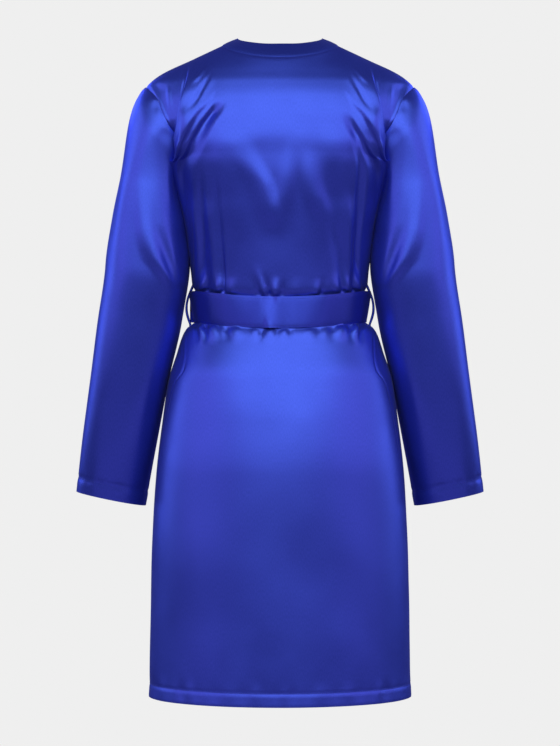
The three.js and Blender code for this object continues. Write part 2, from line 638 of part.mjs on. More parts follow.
function makeSleeve(side, name) {
  const count = 2 * ARMHOLE_ROWS;
  const seam = armholeRing(side);
  const first = sleeveRing(side, SLEEVE[0].at, count);
  const below = sleeveRing(side, SLEEVE[0].at + 0.03, count);
  const grid = [];
  const capRows = 5;
  const height = (i) => Math.min(i, count - i) / ARMHOLE_ROWS;
  for (let row = 0; row <= capRows; row += 1) {
    const t = row / capRows;
    grid.push(
      seam.map((from, i) => {
        const to = first[i];
        const reach = from.distanceTo(to);
        const fall = read(SLEEVE_START, "at", height(i), "fall") * RAD;
        const out = new THREE.Vector3(side * Math.cos(fall), 0, -Math.sin(fall)).multiplyScalar(reach * 0.9);
        const down = below[i].clone().sub(to).normalize().multiplyScalar(reach * 1.1);
        const t2 = t * t;
        const t3 = t2 * t;
        return new THREE.Vector3()
          .addScaledVector(from, 2 * t3 - 3 * t2 + 1)
          .addScaledVector(out, t3 - 2 * t2 + t)
          .addScaledVector(to, 3 * t2 - 2 * t3)
          .addScaledVector(down, t3 - t2);
      }),
    );
  }
  const cuffTurn = 0.97; // share of the sleeve at which the cuff's turn begins
  const tubeRows = SLEEVE_ROWS - capRows;
  for (let row = 1; row <= tubeRows; row += 1) {
    const at = SLEEVE[0].at + ((cuffTurn - SLEEVE[0].at) * row) / (tubeRows - 1);
    grid.push(sleeveRing(side, row < tubeRows ? at : 1, count));
  }
  const normals = normalsOf(grid, true).map((row) => row.map((n) => n.multiplyScalar(-side)));
  normals[0] = normals[0].map((n, i) =>
    n.lerp(figureNormal(grid[0][i]), ramp((height(i) - 0.6) / 0.3)).normalize(),
  );
  const folded = moveOut(grid, normals, (r, c) => {
    const at = SLEEVE[0].at + ((cuffTurn - SLEEVE[0].at) * (r - capRows)) / (tubeRows - 1);
    return r > capRows ? sleeveFold(at, (c / count) * 360, 370) : 0;
  });
  folded[0] = folded[0].map((p, i) => {
    const way = folded[1][i].clone().sub(p);
    const aside = side * 2.6 * SEAM * (1 - ramp(height(i) * 3));
    return p.clone().addScaledVector(way, SEAM / way.length()).add(new THREE.Vector3(aside, 0, 0));
  });
  const wall = (row) => (row >= SLEEVE_ROWS - 1 ? TURNED : CLOTH);
  addPiece(name, wallOf(folded, normals, wall, true), satin);
}

// ---- Belt ----

const beltStand = (x, front) => BELT.clear + BELT.wall + (front ? wrapLift(RIGHT, x, BELT.bottom) : 0);

// A point of the belt's outer face, all the way round from the centre back.
function beltPoint(turn, z) {
  const side = turn <= Math.PI ? RIGHT : LEFT;
  const angle = turn <= Math.PI ? turn : 2 * Math.PI - turn;
  const place = figureByAngle(side, angle, z);
  const out = new THREE.Vector3(place.x, place.y, 0).normalize();
  return place.addScaledVector(out, beltStand(place.x, angle > Math.PI / 2));
}

const BELT_STEPS = 64;

function makeBelt() {
  const grid = [BELT.bottom, (BELT.bottom + BELT.top) / 2, BELT.top].map((z) =>
    Array.from({ length: BELT_STEPS }, (_, step) => beltPoint((step / BELT_STEPS) * 2 * Math.PI, z)),
  );
  addPiece("belt", wallOf(grid, normalsOf(grid, true), () => BELT.wall, true), beltSatin);
}

const knotZ = (BELT.top + BELT.bottom) / 2;
const knotSeat = beltPoint(Math.PI, knotZ).y; // the belt's outer face at the centre front

// The flat knot: a rounded, slightly pleated lump that keeps clear of the belt behind it.
function makeKnot() {
  const ball = new THREE.SphereGeometry(1, KNOT.around, KNOT.rings).attributes.position;
  const square = (value) => Math.sign(value) * Math.abs(value) ** KNOT.squareness;
  const place = (i) => {
    const x = ball.getX(i);
    const y = ball.getZ(i);
    const z = ball.getY(i);
    const pleat = 1 + 0.05 * Math.cos(5 * Math.atan2(z, x) + 1.2);
    const px = square(x) * KNOT.half * pleat * (1 - 0.14 * z);
    const pz = square(z) * KNOT.high * pleat + knotZ;
    const turn = Math.PI - Math.sign(px) * Math.asin(Math.min(0.9, Math.abs(px) / 135));
    const clear = beltPoint(turn, pz).y + SEAM + 0.35;
    return [px, Math.max(knotSeat + KNOT.deep * (0.42 + square(y)), clear), pz];
  };
  const points = [place(0)];
  for (let r = 1; r < KNOT.rings; r += 1) {
    for (let c = 0; c < KNOT.around; c += 1) points.push(place(r * (KNOT.around + 1) + c));
  }
  points.push(place(KNOT.rings * (KNOT.around + 1)));
  const at = (r, c) => 1 + (r - 1) * KNOT.around + (c % KNOT.around);
  const faces = [];
  for (let c = 0; c < KNOT.around; c += 1) {
    faces.push(0, at(1, c), at(1, c + 1));
    faces.push(points.length - 1, at(KNOT.rings - 1, c + 1), at(KNOT.rings - 1, c));
    for (let r = 1; r < KNOT.rings - 1; r += 1) {
      faces.push(at(r, c), at(r + 1, c), at(r + 1, c + 1), at(r, c), at(r + 1, c + 1), at(r, c + 1));
    }
  }
  const knot = new THREE.BufferGeometry();
  knot.setAttribute("position", new THREE.Float32BufferAttribute(points.flat(), 3));
  knot.setIndex(faces);
  addPiece("belt_knot", knot, beltSatin);
}

// How the belt's two ends hang: how far each leans out by its lower end, and its length.
const TAILS = [
  { name: "belt_tail_left", side: LEFT, lean: 34, long: 430 },
  { name: "belt_tail_right", side: RIGHT, lean: 46, long: 395 },
];
const TAIL_STEPS = 16;

function makeTail({ name, side, lean, long }) {
  const top = knotZ - KNOT.high * 1.035 - SEAM; // just under the knot's lowest point
  const knotFace = knotSeat + KNOT.deep * 0.4;
  const grid = [];
  for (let step = 0; step <= TAIL_STEPS; step += 1) {
    const t = step / TAIL_STEPS;
    const spread = ramp(t * 4);
    const half = (TAIL.neck + (TAIL.wide - TAIL.neck) * spread) / 2;
    const middle = side * (TAIL.start + (half - TAIL.neck / 2) * 1.1 + lean * t ** 1.3);
    const z = top - long * t;
    const row = [];
    for (let c = 0; c <= TAIL.columns; c += 1) {
      const x = middle + half * ((2 * c) / TAIL.columns - 1);
      const skirt = figureByPlace(1, x, z).y;
      const hang = Math.max(skirt + TAIL.clear + WRAP_LIFT, knotFace * (1 - ramp(t * 3)));
      const wave = 3 * Math.sin(1.5 + 5 * t) * ramp(t * 3) + 2.2 * spread * Math.cos((x - middle) / 9);
      row.push(new THREE.Vector3(x, hang + wave, z));
    }
    grid.push(row);
  }
  addPiece(name, wallOf(grid, normalsOf(grid), () => TAIL.wall), beltSatin);
}

// ---- Belt loops ----

function makeLoop(side, name) {
  const seat = (z) => figureByAngle(side, 90 * RAD, z).x + side * (LOOP.radius + SEAM + 0.6);
  const high = LOOP.top - LOOP.bottom;
  const outermost = figureByAngle(side, 90 * RAD, -390).x + side * LOOP.stand;
  const route = new THREE.CatmullRomCurve3(
    [
      { x: seat(LOOP.top + 6), z: LOOP.top + 6 },
      { x: seat(LOOP.top) + side * 3.6, z: LOOP.top - 1.5 },
      { x: outermost - side * 1.2, z: LOOP.top - high * 0.3 },
      { x: outermost, z: LOOP.top - high * 0.62 },
      { x: outermost - side * 4, z: LOOP.bottom + high * 0.13 },
      { x: seat(LOOP.bottom - 2) + side * 0.4, z: LOOP.bottom - 2 },
    ].map(({ x, z }) => new THREE.Vector3(x, 0, z)),
    false,
    "centripetal",
  );
  const section = new THREE.Shape();
  section.absarc(0, 0, LOOP.radius, 0, 2 * Math.PI, false);
  const tube = new THREE.ExtrudeGeometry(section, {
    steps: LOOP.steps,
    curveSegments: LOOP.sides,
    extrudePath: route,
    bevelEnabled: false,
  });
  const mesh = new THREE.Mesh(tube, cordSatin);
  mesh.name = name;
  gown.add(mesh);
}

makeBack();
makeFront(LEFT, "front_left");
makeFront(RIGHT, "front_right");
makeSleeve(LEFT, "sleeve_left");
makeSleeve(RIGHT, "sleeve_right");
makeNeckbandBack();
makeNeckbandFront(LEFT, "neckband_left");
makeNeckbandFront(RIGHT, "neckband_right");
makeBelt();
makeKnot();
TAILS.forEach(makeTail);
makeLoop(LEFT, "belt_loop_left");
makeLoop(RIGHT, "belt_loop_right");

export default gown;
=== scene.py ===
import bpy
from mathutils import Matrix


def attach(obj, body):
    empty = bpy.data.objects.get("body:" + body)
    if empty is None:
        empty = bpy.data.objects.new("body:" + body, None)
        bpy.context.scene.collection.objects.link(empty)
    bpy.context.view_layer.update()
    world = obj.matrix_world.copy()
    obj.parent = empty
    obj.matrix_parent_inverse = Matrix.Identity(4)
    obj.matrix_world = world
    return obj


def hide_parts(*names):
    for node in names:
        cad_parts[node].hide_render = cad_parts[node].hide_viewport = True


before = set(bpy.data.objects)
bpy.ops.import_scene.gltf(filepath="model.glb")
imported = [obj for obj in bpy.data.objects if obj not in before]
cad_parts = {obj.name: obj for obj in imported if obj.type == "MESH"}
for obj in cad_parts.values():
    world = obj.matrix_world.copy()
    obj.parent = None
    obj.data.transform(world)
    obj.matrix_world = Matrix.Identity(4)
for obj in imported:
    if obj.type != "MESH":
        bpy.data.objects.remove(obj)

"""Dresses a short satin dressing gown, worn and belted with nobody in it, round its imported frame.

Sizes are in millimetres and are turned to metres where a mesh is made. The back faces -Y.
"""
import logging
import math
from dataclasses import dataclass
from enum import Enum
from typing import Callable, Sequence

import bpy
import numpy as np
from mathutils import Vector

LOG = logging.getLogger("dressing_gown")
MM = 0.001
LEFT, RIGHT = -1, 1
BEHIND, BEFORE = -1, 1
SIDE_NAMES = {LEFT: "left", RIGHT: "right"}

# Sizes that several pieces share.
HEM_Z = -971.0
HEM_TURN = 20.0
UNDERARM_Z = -190.0
SHOULDER_TIP_X, SHOULDER_TIP_Z = 202.0, -59.0
NECK_HALF = 88.0
NECK_TOP = 3.0
NECK_DROP = 24.0  # how far the neck seam dips at the centre back
NECK_ARCH = 0.65
NECK_COLUMNS = 8 / 18  # share of the back's columns that end at the neck
BAND_WIDTH = 32.0
BAND_AT_NECK = 25.0
BAND_TOP = 14.5
BAND_TURN_Z = 140.0  # the band reaches its full width this far below the neck
WRAP_LIFT = 4.8
BELT_TOP = -365.5
BELT_BOTTOM = -411.5
BELT_WIDE = BELT_TOP - BELT_BOTTOM
BELT_MIDDLE = (BELT_TOP + BELT_BOTTOM) / 2
BELT_WALL = 2.0
BELT_CLEAR = 1.1
BELT_DIP = 10.0  # how far the belt sinks at the centre back and front
BELT_REACH = 85.0  # how far above and below it the cloth sinks with it
UNDER_BELT = 8.0  # how far in under the belt the gathers run
EDGE_STITCH = 3.6  # from an edge of the sash to its row of stitches
SATIN_WALL = 0.7
ROW_STEP = 3.0  # from row to row of the body above the underarm
SLEEVE_STEP = 3.8  # from row to row of the sleeve


def ramp(value: np.ndarray | float) -> np.ndarray:
    """Returns a smooth ramp from 0 to 1."""
    t = np.clip(value, 0.0, 1.0)
    return t * t * (3 - 2 * t)


def bell(value: np.ndarray | float) -> np.ndarray:
    """Returns a rounded bump, 1 in the middle and 0 from one half width out."""
    return np.where(np.abs(value) < 1, (1 + np.cos(np.pi * value)) / 2, 0.0)


def climb(value: np.ndarray | float, over: float, start: float = 0.0) -> np.ndarray:
    """Returns a smooth ramp from 0 to 1."""
    return ramp((value - start) / over)


def bump(value: np.ndarray, at: float, reach: float) -> np.ndarray:
    """Returns a rounded bump, 1 in the middle and 0 from its reach out."""
    return bell((value - at) / reach)


def fade(distance: np.ndarray | float, reach: np.ndarray | float) -> np.ndarray:
    """Returns 1 on a line and softly less away from it."""
    return np.exp(-((distance / reach) ** 2))


def unit(ways: np.ndarray) -> np.ndarray:
    """Returns directions brought to a length of 1."""
    return ways / np.maximum(np.linalg.norm(ways, axis=-1, keepdims=True), 1e-12)


def hermite(
    t: np.ndarray, start: np.ndarray, leave: np.ndarray, end: np.ndarray, arrive: np.ndarray
) -> np.ndarray:
    """Works out places on a smooth curve from one point to another.

    Args:
        t: Shares of the way, from 0 to 1.
        start: The first point.
        leave: The curve's direction there.
        end: The last point.
        arrive: The curve's direction there.

    Returns:
        The places.
    """
    t2, t3 = t * t, t * t * t
    left = (2 * t3 - 3 * t2 + 1) * start + (t3 - 2 * t2 + t) * leave
    return left + (3 * t2 - 2 * t3) * end + (t3 - t2) * arrive


class Curve:
    """A smooth curve through rows of a table that never overshoots its rows."""

    def __init__(self, keys: Sequence[float], values: Sequence[float]) -> None:
        """Stores the rows in rising order and works out the slope at each.

        Args:
            keys: Where each row lies, all rising or all falling.
            values: The value of each row.
        """
        order = np.argsort(keys)
        self.keys = np.asarray(keys, float)[order]
        self.values = np.asarray(values, float)[order]
        rise = np.diff(self.values) / np.diff(self.keys)
        before, after = rise[:-1], rise[1:]
        total = np.where(before * after > 0, before + after, 1.0)
        inner = np.where(before * after > 0, 2 * before * after / total, 0.0)
        self.slopes = np.concatenate([rise[:1], inner, rise[-1:]])

    def __call__(self, at: np.ndarray | float) -> np.ndarray:
        """Reads the curve.

        Args:
            at: Where to read the curve.

        Returns:
            The value at each place.
        """
        at = np.clip(np.asarray(at, float), self.keys[0], self.keys[-1])
        i = np.clip(np.searchsorted(self.keys, at, side="right") - 1, 0, len(self.keys) - 2)
        span = self.keys[i + 1] - self.keys[i]
        t = (at - self.keys[i]) / span
        leave, arrive = self.slopes[i] * span, self.slopes[i + 1] * span
        return hermite(t, self.values[i], leave, self.values[i + 1], arrive)


class Table:
    """A short table whose columns are each read along a smooth curve."""

    def __init__(self, names: str, *rows: tuple[float, ...]) -> None:
        """Makes one curve for each column after the first.

        Args:
            names: The columns' names, the first of which is the key.
            *rows: The table's rows.
        """
        key, *columns = names.split()
        self.key = key
        keys = [row[0] for row in rows]
        self.columns = {name: Curve(keys, [row[i + 1] for row in rows]) for i, name in enumerate(columns)}

    def read(self, name: str, at: np.ndarray | float) -> np.ndarray:
        """Returns one column's value at a key."""
        return self.columns[name](at)


# The figure that the cloth goes round: half width, and depth behind and in front of the side line.
FIGURE = Table(
    "z half back front",
    (16, 60, 34, 3),
    (NECK_TOP, 88, 44, 18),
    (-18, 132.5, 57, 38),
    (-42, 182, 73, 54),
    (-59, 202, 84, 64),
    (-85, 209, 97, 78),
    (-110, 211, 104, 90),
    (-142, 177, 107, 102),
    (-166, 153, 106, 109),
    (UNDERARM_Z, 146, 105, 114),
    (-230, 142.5, 101, 118),
    (-285, 138, 94, 112),
    (-340, 133, 87.5, 102),
    (-356, 131.5, 85.5, 98),
    (-366, 127, 82.5, 94),
    (-412, 127.5, 83, 94),
    (-420, 139.5, 90, 99),
    (-430, 146, 96, 102),
    (-460, 156, 106, 108),
    (-498, 168, 115, 113),
    (-558, 177, 124, 118),
    (-635, 185.5, 129, 122),
    (-755, 192, 130, 126),
    (HEM_Z, 196, 131, 131),
)
SHOULDER_SEAM = Table("at x z", (0, NECK_HALF, NECK_TOP), (0.4, 132.5, -18), (0.83, 182, -42), (1, 202, -59))
SIDE_SEAM = Table(
    "z angle",
    (UNDERARM_Z, 90),
    (-412, 88),
    (-435, 70),
    (-483, 61),
    (-503, 68),
    (-600, 78),
    (-700, 87),
    (HEM_Z, 89),
)
ARMHOLE = Table(
    "at z behind before",
    (0, UNDERARM_Z, 146, 146),
    (0.12, -178, 142, 142),
    (0.25, -161, 142, 139.5),
    (0.4, -142, 149, 144),
    (0.55, -124, 163, 156),
    (0.7, -104, 173, 167),
    (0.85, -82, 182, 179),
    (1, -59, 202, 202),
)
FRONT_EDGE = Table(
    "z x",
    (NECK_TOP, NECK_HALF),
    (-30, 84),
    (-80, 74),
    (-140, 58),
    (-200, 40),
    (-260, 21),
    (-320, 1),
    (-366, -14),
    (-412, -24),
    (-480, -38),
    (-620, -50),
    (HEM_Z, -54),
)
SLEEVE = Table(
    "at x y z half deep tilt",
    (0.25, 193.6, 3, -215, 48.9, 62, 14),
    (0.38, 197, -2, -268, 55.4, 62, 9),
    (0.5, 200, -2, -333, 62, 61, 8),
    (0.62, 210, 4, -405, 62, 59, 9),
    (0.75, 225.5, 14, -490, 58.5, 56, 11),
    (0.88, 243, 32, -590, 55.9, 52, 12),
    (1, 256.7, 54, -678, 53.5, 48, 11.5),
)
SLEEVE_START = Table("at fall", (0, 76), (0.25, 52), (0.5, 22), (0.8, 24), (1, 46))


@dataclass(frozen=True)
class Fold:
    """A soft ridge or trough of the cloth along a line, each side with its own reach."""

    way: tuple[tuple[float, float], ...]  # across and height, from its upper to its lower end
    left: float
    right: float
    rise: float
    lead: float = 0.35  # share of its length over which it grows
    tail: float = 0.5  # share over which it fades

    def height(self, across: np.ndarray, down: np.ndarray) -> np.ndarray:
        """Works out how far the fold raises the cloth.

        Args:
            across: Places across the cloth.
            down: Heights of those places.

        Returns:
            The rise at each place.
        """
        keys = [point[1] for point in self.way]
        line = Curve(keys, [point[0] for point in self.way])(down)
        along = (keys[0] - down) / (keys[0] - keys[-1])
        off = across - line
        reach = np.where(off < 0, self.left, self.right)
        return self.rise * bell(off / reach) * ramp(along / self.lead) * ramp((1 - along) / self.tail)


@dataclass(frozen=True)
class Gather:
    """A small pleat that starts under the belt's edge and fades away from it."""

    x: float
    reach: float
    rise: float
    long: float
    drift: float = 0.0

    def height(self, across: np.ndarray, away: np.ndarray) -> np.ndarray:
        """Works out how far the gather raises the cloth.

        Args:
            across: Places across the cloth.
            away: Distances from the belt's edge.

        Returns:
            The rise at each place.
        """
        t = away / self.long
        wide = self.reach * (1 + 0.6 * np.clip(t, 0, 1))
        shown = (1 - ramp(t)) * climb(away, over=5, start=-1.25)
        return self.rise * bell((across - self.x - self.drift * t) / wide) * shown


def gathers(*rows: tuple[float, ...]) -> tuple[Gather, ...]:
    """Returns gathers from rows of their place, reach, rise, length and drift."""
    return tuple(Gather(*row) for row in rows)


def by_angle(side: int | np.ndarray, angle: np.ndarray, z: np.ndarray) -> np.ndarray:
    """Finds points of the figure by angle from the centre back and height.

    Args:
        side: LEFT or RIGHT for each point.
        angle: Angle round from the centre back, in radians.
        z: Height.

    Returns:
        The points.
    """
    depth = np.where(np.cos(angle) > 0, FIGURE.read("back", z), FIGURE.read("front", z))
    x = side * FIGURE.read("half", z) * np.sin(angle)
    return np.stack(np.broadcast_arrays(x, -depth * np.cos(angle), z), axis=-1)


def by_place(face: int, x: np.ndarray, z: np.ndarray) -> np.ndarray:
    """Finds points of the figure by their place seen from behind or in front.

    Args:
        face: BEHIND or BEFORE.
        x: Place across.
        z: Height.

    Returns:
        The points.
    """
    across = np.minimum(1.0, np.abs(x) / FIGURE.read("half", z))
    depth = FIGURE.read("back" if face == BEHIND else "front", z)
    return np.stack(np.broadcast_arrays(x, face * depth * np.sqrt(1 - across**2), z), axis=-1)


def figure_normals(points: np.ndarray) -> np.ndarray:
    """Works out the figure's outward normals at points on it, the same for every piece that meets there.

    Args:
        points: Points on the figure.

    Returns:
        A unit normal for each point.
    """
    x, y, z = points[..., 0], points[..., 1], points[..., 2]
    behind = y < 0
    half = FIGURE.read("half", z)
    half_slope = (FIGURE.read("half", z + 1) - FIGURE.read("half", z - 1)) / 2
    depth = np.where(behind, FIGURE.read("back", z), FIGURE.read("front", z))
    back_slope = (FIGURE.read("back", z + 1) - FIGURE.read("back", z - 1)) / 2
    front_slope = (FIGURE.read("front", z + 1) - FIGURE.read("front", z - 1)) / 2
    depth_slope = np.where(behind, back_slope, front_slope)
    along = -(x**2) * half_slope / half**3 - y**2 * depth_slope / depth**3
    return unit(np.stack([x / half**2, y / depth**2, along], axis=-1))


def sink(points: np.ndarray) -> np.ndarray:
    """Lowers points near the waist, as the belt's dip at the middle lowers the cloth.

    Args:
        points: Points of a piece of the body.

    Returns:
        The lowered points.
    """
    near = 1 - climb(np.abs(points[..., 2] - BELT_MIDDLE), over=BELT_REACH, start=BELT_WIDE / 2 + 2)
    across = np.minimum(1.0, np.abs(points[..., 0]) / FIGURE.read("half", points[..., 2]))
    lowered = points.copy()
    lowered[..., 2] -= BELT_DIP * (1 - across**2) * near
    return lowered


def wrap_lift(x: np.ndarray, z: np.ndarray) -> np.ndarray:
    """Returns how far the upper front, the wearer's right, lies over the lower one."""
    return WRAP_LIFT * climb(112 - x, over=20) * climb(-165 - z, over=70)


def armhole_share(row: np.ndarray | float) -> np.ndarray | float:
    """Returns how far up the armhole a row lies, closer together towards the shoulder."""
    return row * (1.35 - 0.35 * row)


def neck_seam_z(x: np.ndarray) -> np.ndarray:
    """Returns the height of the neck seam round the back."""
    return NECK_TOP - NECK_DROP * (1 - np.minimum(1.0, (x / NECK_HALF) ** 2)) ** NECK_ARCH


SWELL_WAVES = 9
SWELL_SHORTEST, SWELL_LONGEST = 70, 190
SWELL_MEAN = (SWELL_SHORTEST + SWELL_LONGEST) / 2


def wander(points: np.ndarray, rise: float, seed: int) -> np.ndarray:
    """Works out a slow uneven swell of the cloth, so that no panel is perfectly regular.

    Args:
        points: Points of the cloth.
        rise: Largest swell.
        seed: Picks the swell's pattern.

    Returns:
        The swell at each point.
    """
    draw = np.random.default_rng(seed)
    total = np.zeros(points.shape[:-1])
    for _ in range(SWELL_WAVES):
        way = draw.normal(size=3) * np.array([1.0, 1.0, 0.55])
        way /= np.linalg.norm(way)
        long = draw.uniform(SWELL_SHORTEST, SWELL_LONGEST)
        wave = np.sin(points @ way * (2 * math.pi / long) + draw.uniform(0, 2 * math.pi))
        total += wave * long / SWELL_MEAN
    return rise * total / 4


def rows_between(*stops: tuple[float, float]) -> np.ndarray:
    """Sets heights that run through stops, each stretch at its own spacing.

    Args:
        *stops: Height and the spacing up to the next stop.

    Returns:
        The heights.
    """
    heights = []
    for (low, step), (high, _) in zip(stops, stops[1:]):
        heights.extend(np.linspace(low, high, max(2, round((high - low) / step) + 1))[:-1])
    return np.array(heights + [stops[-1][0]])


# Rows of the panels from the hem to the underarm, closest at the hem's turn and by the belt.
PANEL_ROWS = rows_between(
    (HEM_Z, 2.6), (HEM_Z + HEM_TURN + 6, 7.0), (-500, 3.6), (-412, 11.5), (-366, 2.6), (-300, 4.2),
    (UNDERARM_Z, 1),
)
ROWS_ABOVE = 62


# ---------------------------------------------------------------------------------------------------
# Finishes


def linear(hex_colour: str) -> tuple[float, float, float, float]:
    """Turns a hex sRGB colour to linear RGBA.

    Args:
        hex_colour: Six hex digits after a hash.

    Returns:
        Red, green, blue and alpha.
    """
    parts = [int(hex_colour[i : i + 2], 16) / 255 for i in (1, 3, 5)]
    r, g, b = (c / 12.92 if c <= 0.04045 else ((c + 0.055) / 1.055) ** 2.4 for c in parts)
    return (r, g, b, 1.0)


def add_node(
    tree: bpy.types.NodeTree, kind: str, links: dict | None = None, **settings: object
) -> bpy.types.Node:
    """Adds a node to a tree with its settings and links.

    Args:
        tree: The material's or world's tree.
        kind: The node's type.
        links: Input name or number to the socket or the plain value that it takes.
        **settings: The node's own properties.

    Returns:
        The node.
    """
    node = tree.nodes.new(kind)
    for name, value in settings.items():
        setattr(node, name, value)
    for name, value in (links or {}).items():
        if isinstance(value, bpy.types.NodeSocket):
            tree.links.new(value, node.inputs[name])
        else:
            node.inputs[name].default_value = value
    return node


class Handle(Enum):
    """How much body a satin piece has, which sets how sharp its gloss is."""

    PANEL = "panel"
    DOUBLE = "double"
    SASH = "sash"
    CORD = "cord"


@dataclass(frozen=True)
class Satin:
    """Polyester charmeuse: a warp-faced satin weave, woven, dyed in the piece and pressed.

    Its long warp floats lie side by side, so the gloss is soft, deep in the cloth's own colour, and
    spreads across the threads and not along them.
    """

    name: str
    colour: str
    shade: str
    handle: Handle = Handle.PANEL
    float_wide_mm: float = 1.2  # real threads lie 0.1 mm apart; drawn as coarse as shows at a step away
    float_long_mm: float = 4.6
    slub_mm: float = 46.0

    def build(self) -> bpy.types.Material:
        """Builds the material.

        Returns:
            The material.
        """
        material = bpy.data.materials.new(self.name)
        material.use_nodes = True
        tree = material.node_tree
        tree.nodes.clear()
        rough, metallic, spread = {
            Handle.PANEL: (0.36, 0.82, 0.4),
            Handle.DOUBLE: (0.38, 0.8, 0.5),
            Handle.SASH: (0.36, 0.82, 0.8),
            Handle.CORD: (0.48, 0.7, 0.4),
        }[self.handle]
        cloth = add_node(tree, "ShaderNodeUVMap", uv_map="cloth").outputs["UV"]
        pitch = (1 / (self.float_wide_mm * MM), 1 / (self.float_long_mm * MM), 1.0)
        place = add_node(tree, "ShaderNodeMapping", {"Vector": cloth, "Scale": pitch})
        grain = {"Vector": place.outputs[0], "Scale": 1.0, "Detail": 2.0, "Roughness": 0.6}
        floats = add_node(tree, "ShaderNodeTexNoise", grain)
        slow = {"Vector": cloth, "Scale": 1 / (self.slub_mm * MM), "Detail": 3.0}
        slub = add_node(tree, "ShaderNodeTexNoise", slow)
        colour = add_node(tree, "ShaderNodeValToRGB", {"Fac": floats.outputs["Fac"]})
        colour.color_ramp.elements[0].position = 0.25
        colour.color_ramp.elements[0].color = linear(self.shade)
        colour.color_ramp.elements[1].position = 0.75
        colour.color_ramp.elements[1].color = linear(self.colour)
        worn = {"From Min": 0.3, "From Max": 0.7, "To Min": rough - 0.03, "To Max": rough + 0.03}
        sheen = add_node(tree, "ShaderNodeMapRange", {"Value": slub.outputs["Fac"], **worn})
        relief = {"Height": floats.outputs["Fac"], "Strength": 0.10, "Distance": 0.0005}
        weave = add_node(tree, "ShaderNodeBump", relief)
        weft_way = add_node(tree, "ShaderNodeTangent", direction_type="UV_MAP", uv_map="cloth")
        shader = add_node(
            tree,
            "ShaderNodeBsdfPrincipled",
            {
                "Base Color": colour.outputs["Color"],
                "Normal": weave.outputs["Normal"],
                "Roughness": sheen.outputs["Result"],
                "Metallic": metallic,
                "IOR": 1.5,
                "Specular Tint": linear("#8C94FF"),
                "Anisotropic": spread,
                "Tangent": weft_way.outputs["Tangent"],
                "Sheen Weight": 0.05,
                "Sheen Roughness": 0.4,
            },
        )
        output = add_node(tree, "ShaderNodeOutputMaterial")
        tree.links.new(shader.outputs["BSDF"], output.inputs["Surface"])
        return material


@dataclass(frozen=True)
class Thread:
    """Spun polyester sewing thread in the cloth's blue, matt beside the satin."""

    name: str
    colour: str

    def build(self) -> bpy.types.Material:
        """Builds the material.

        Returns:
            The material.
        """
        material = bpy.data.materials.new(self.name)
        material.use_nodes = True
        tree = material.node_tree
        shader = tree.nodes["Principled BSDF"]
        place = add_node(tree, "ShaderNodeTexCoord").outputs["Object"]
        twist = add_node(tree, "ShaderNodeTexNoise", {"Vector": place, "Scale": 1400.0, "Detail": 1.0})
        colour = add_node(tree, "ShaderNodeValToRGB", {"Fac": twist.outputs["Fac"]})
        colour.color_ramp.elements[0].color = linear("#10185C")
        colour.color_ramp.elements[1].color = linear(self.colour)
        tree.links.new(colour.outputs["Color"], shader.inputs["Base Color"])
        shader.inputs["Roughness"].default_value = 0.6
        return material


@dataclass(frozen=True)
class Paper:
    """Seamless studio paper, pale and even."""

    name: str
    colour: str

    def build(self) -> bpy.types.Material:
        """Builds the material, with its own light so that it is even all over.

        Returns:
            The material.
        """
        material = bpy.data.materials.new(self.name)
        material.use_nodes = True
        tree = material.node_tree
        tree.nodes.clear()
        glow = add_node(tree, "ShaderNodeEmission", {"Color": linear(self.colour), "Strength": 1.0})
        output = add_node(tree, "ShaderNodeOutputMaterial")
        tree.links.new(glow.outputs[0], output.inputs["Surface"])
        return material


# ---------------------------------------------------------------------------------------------------
# Meshes


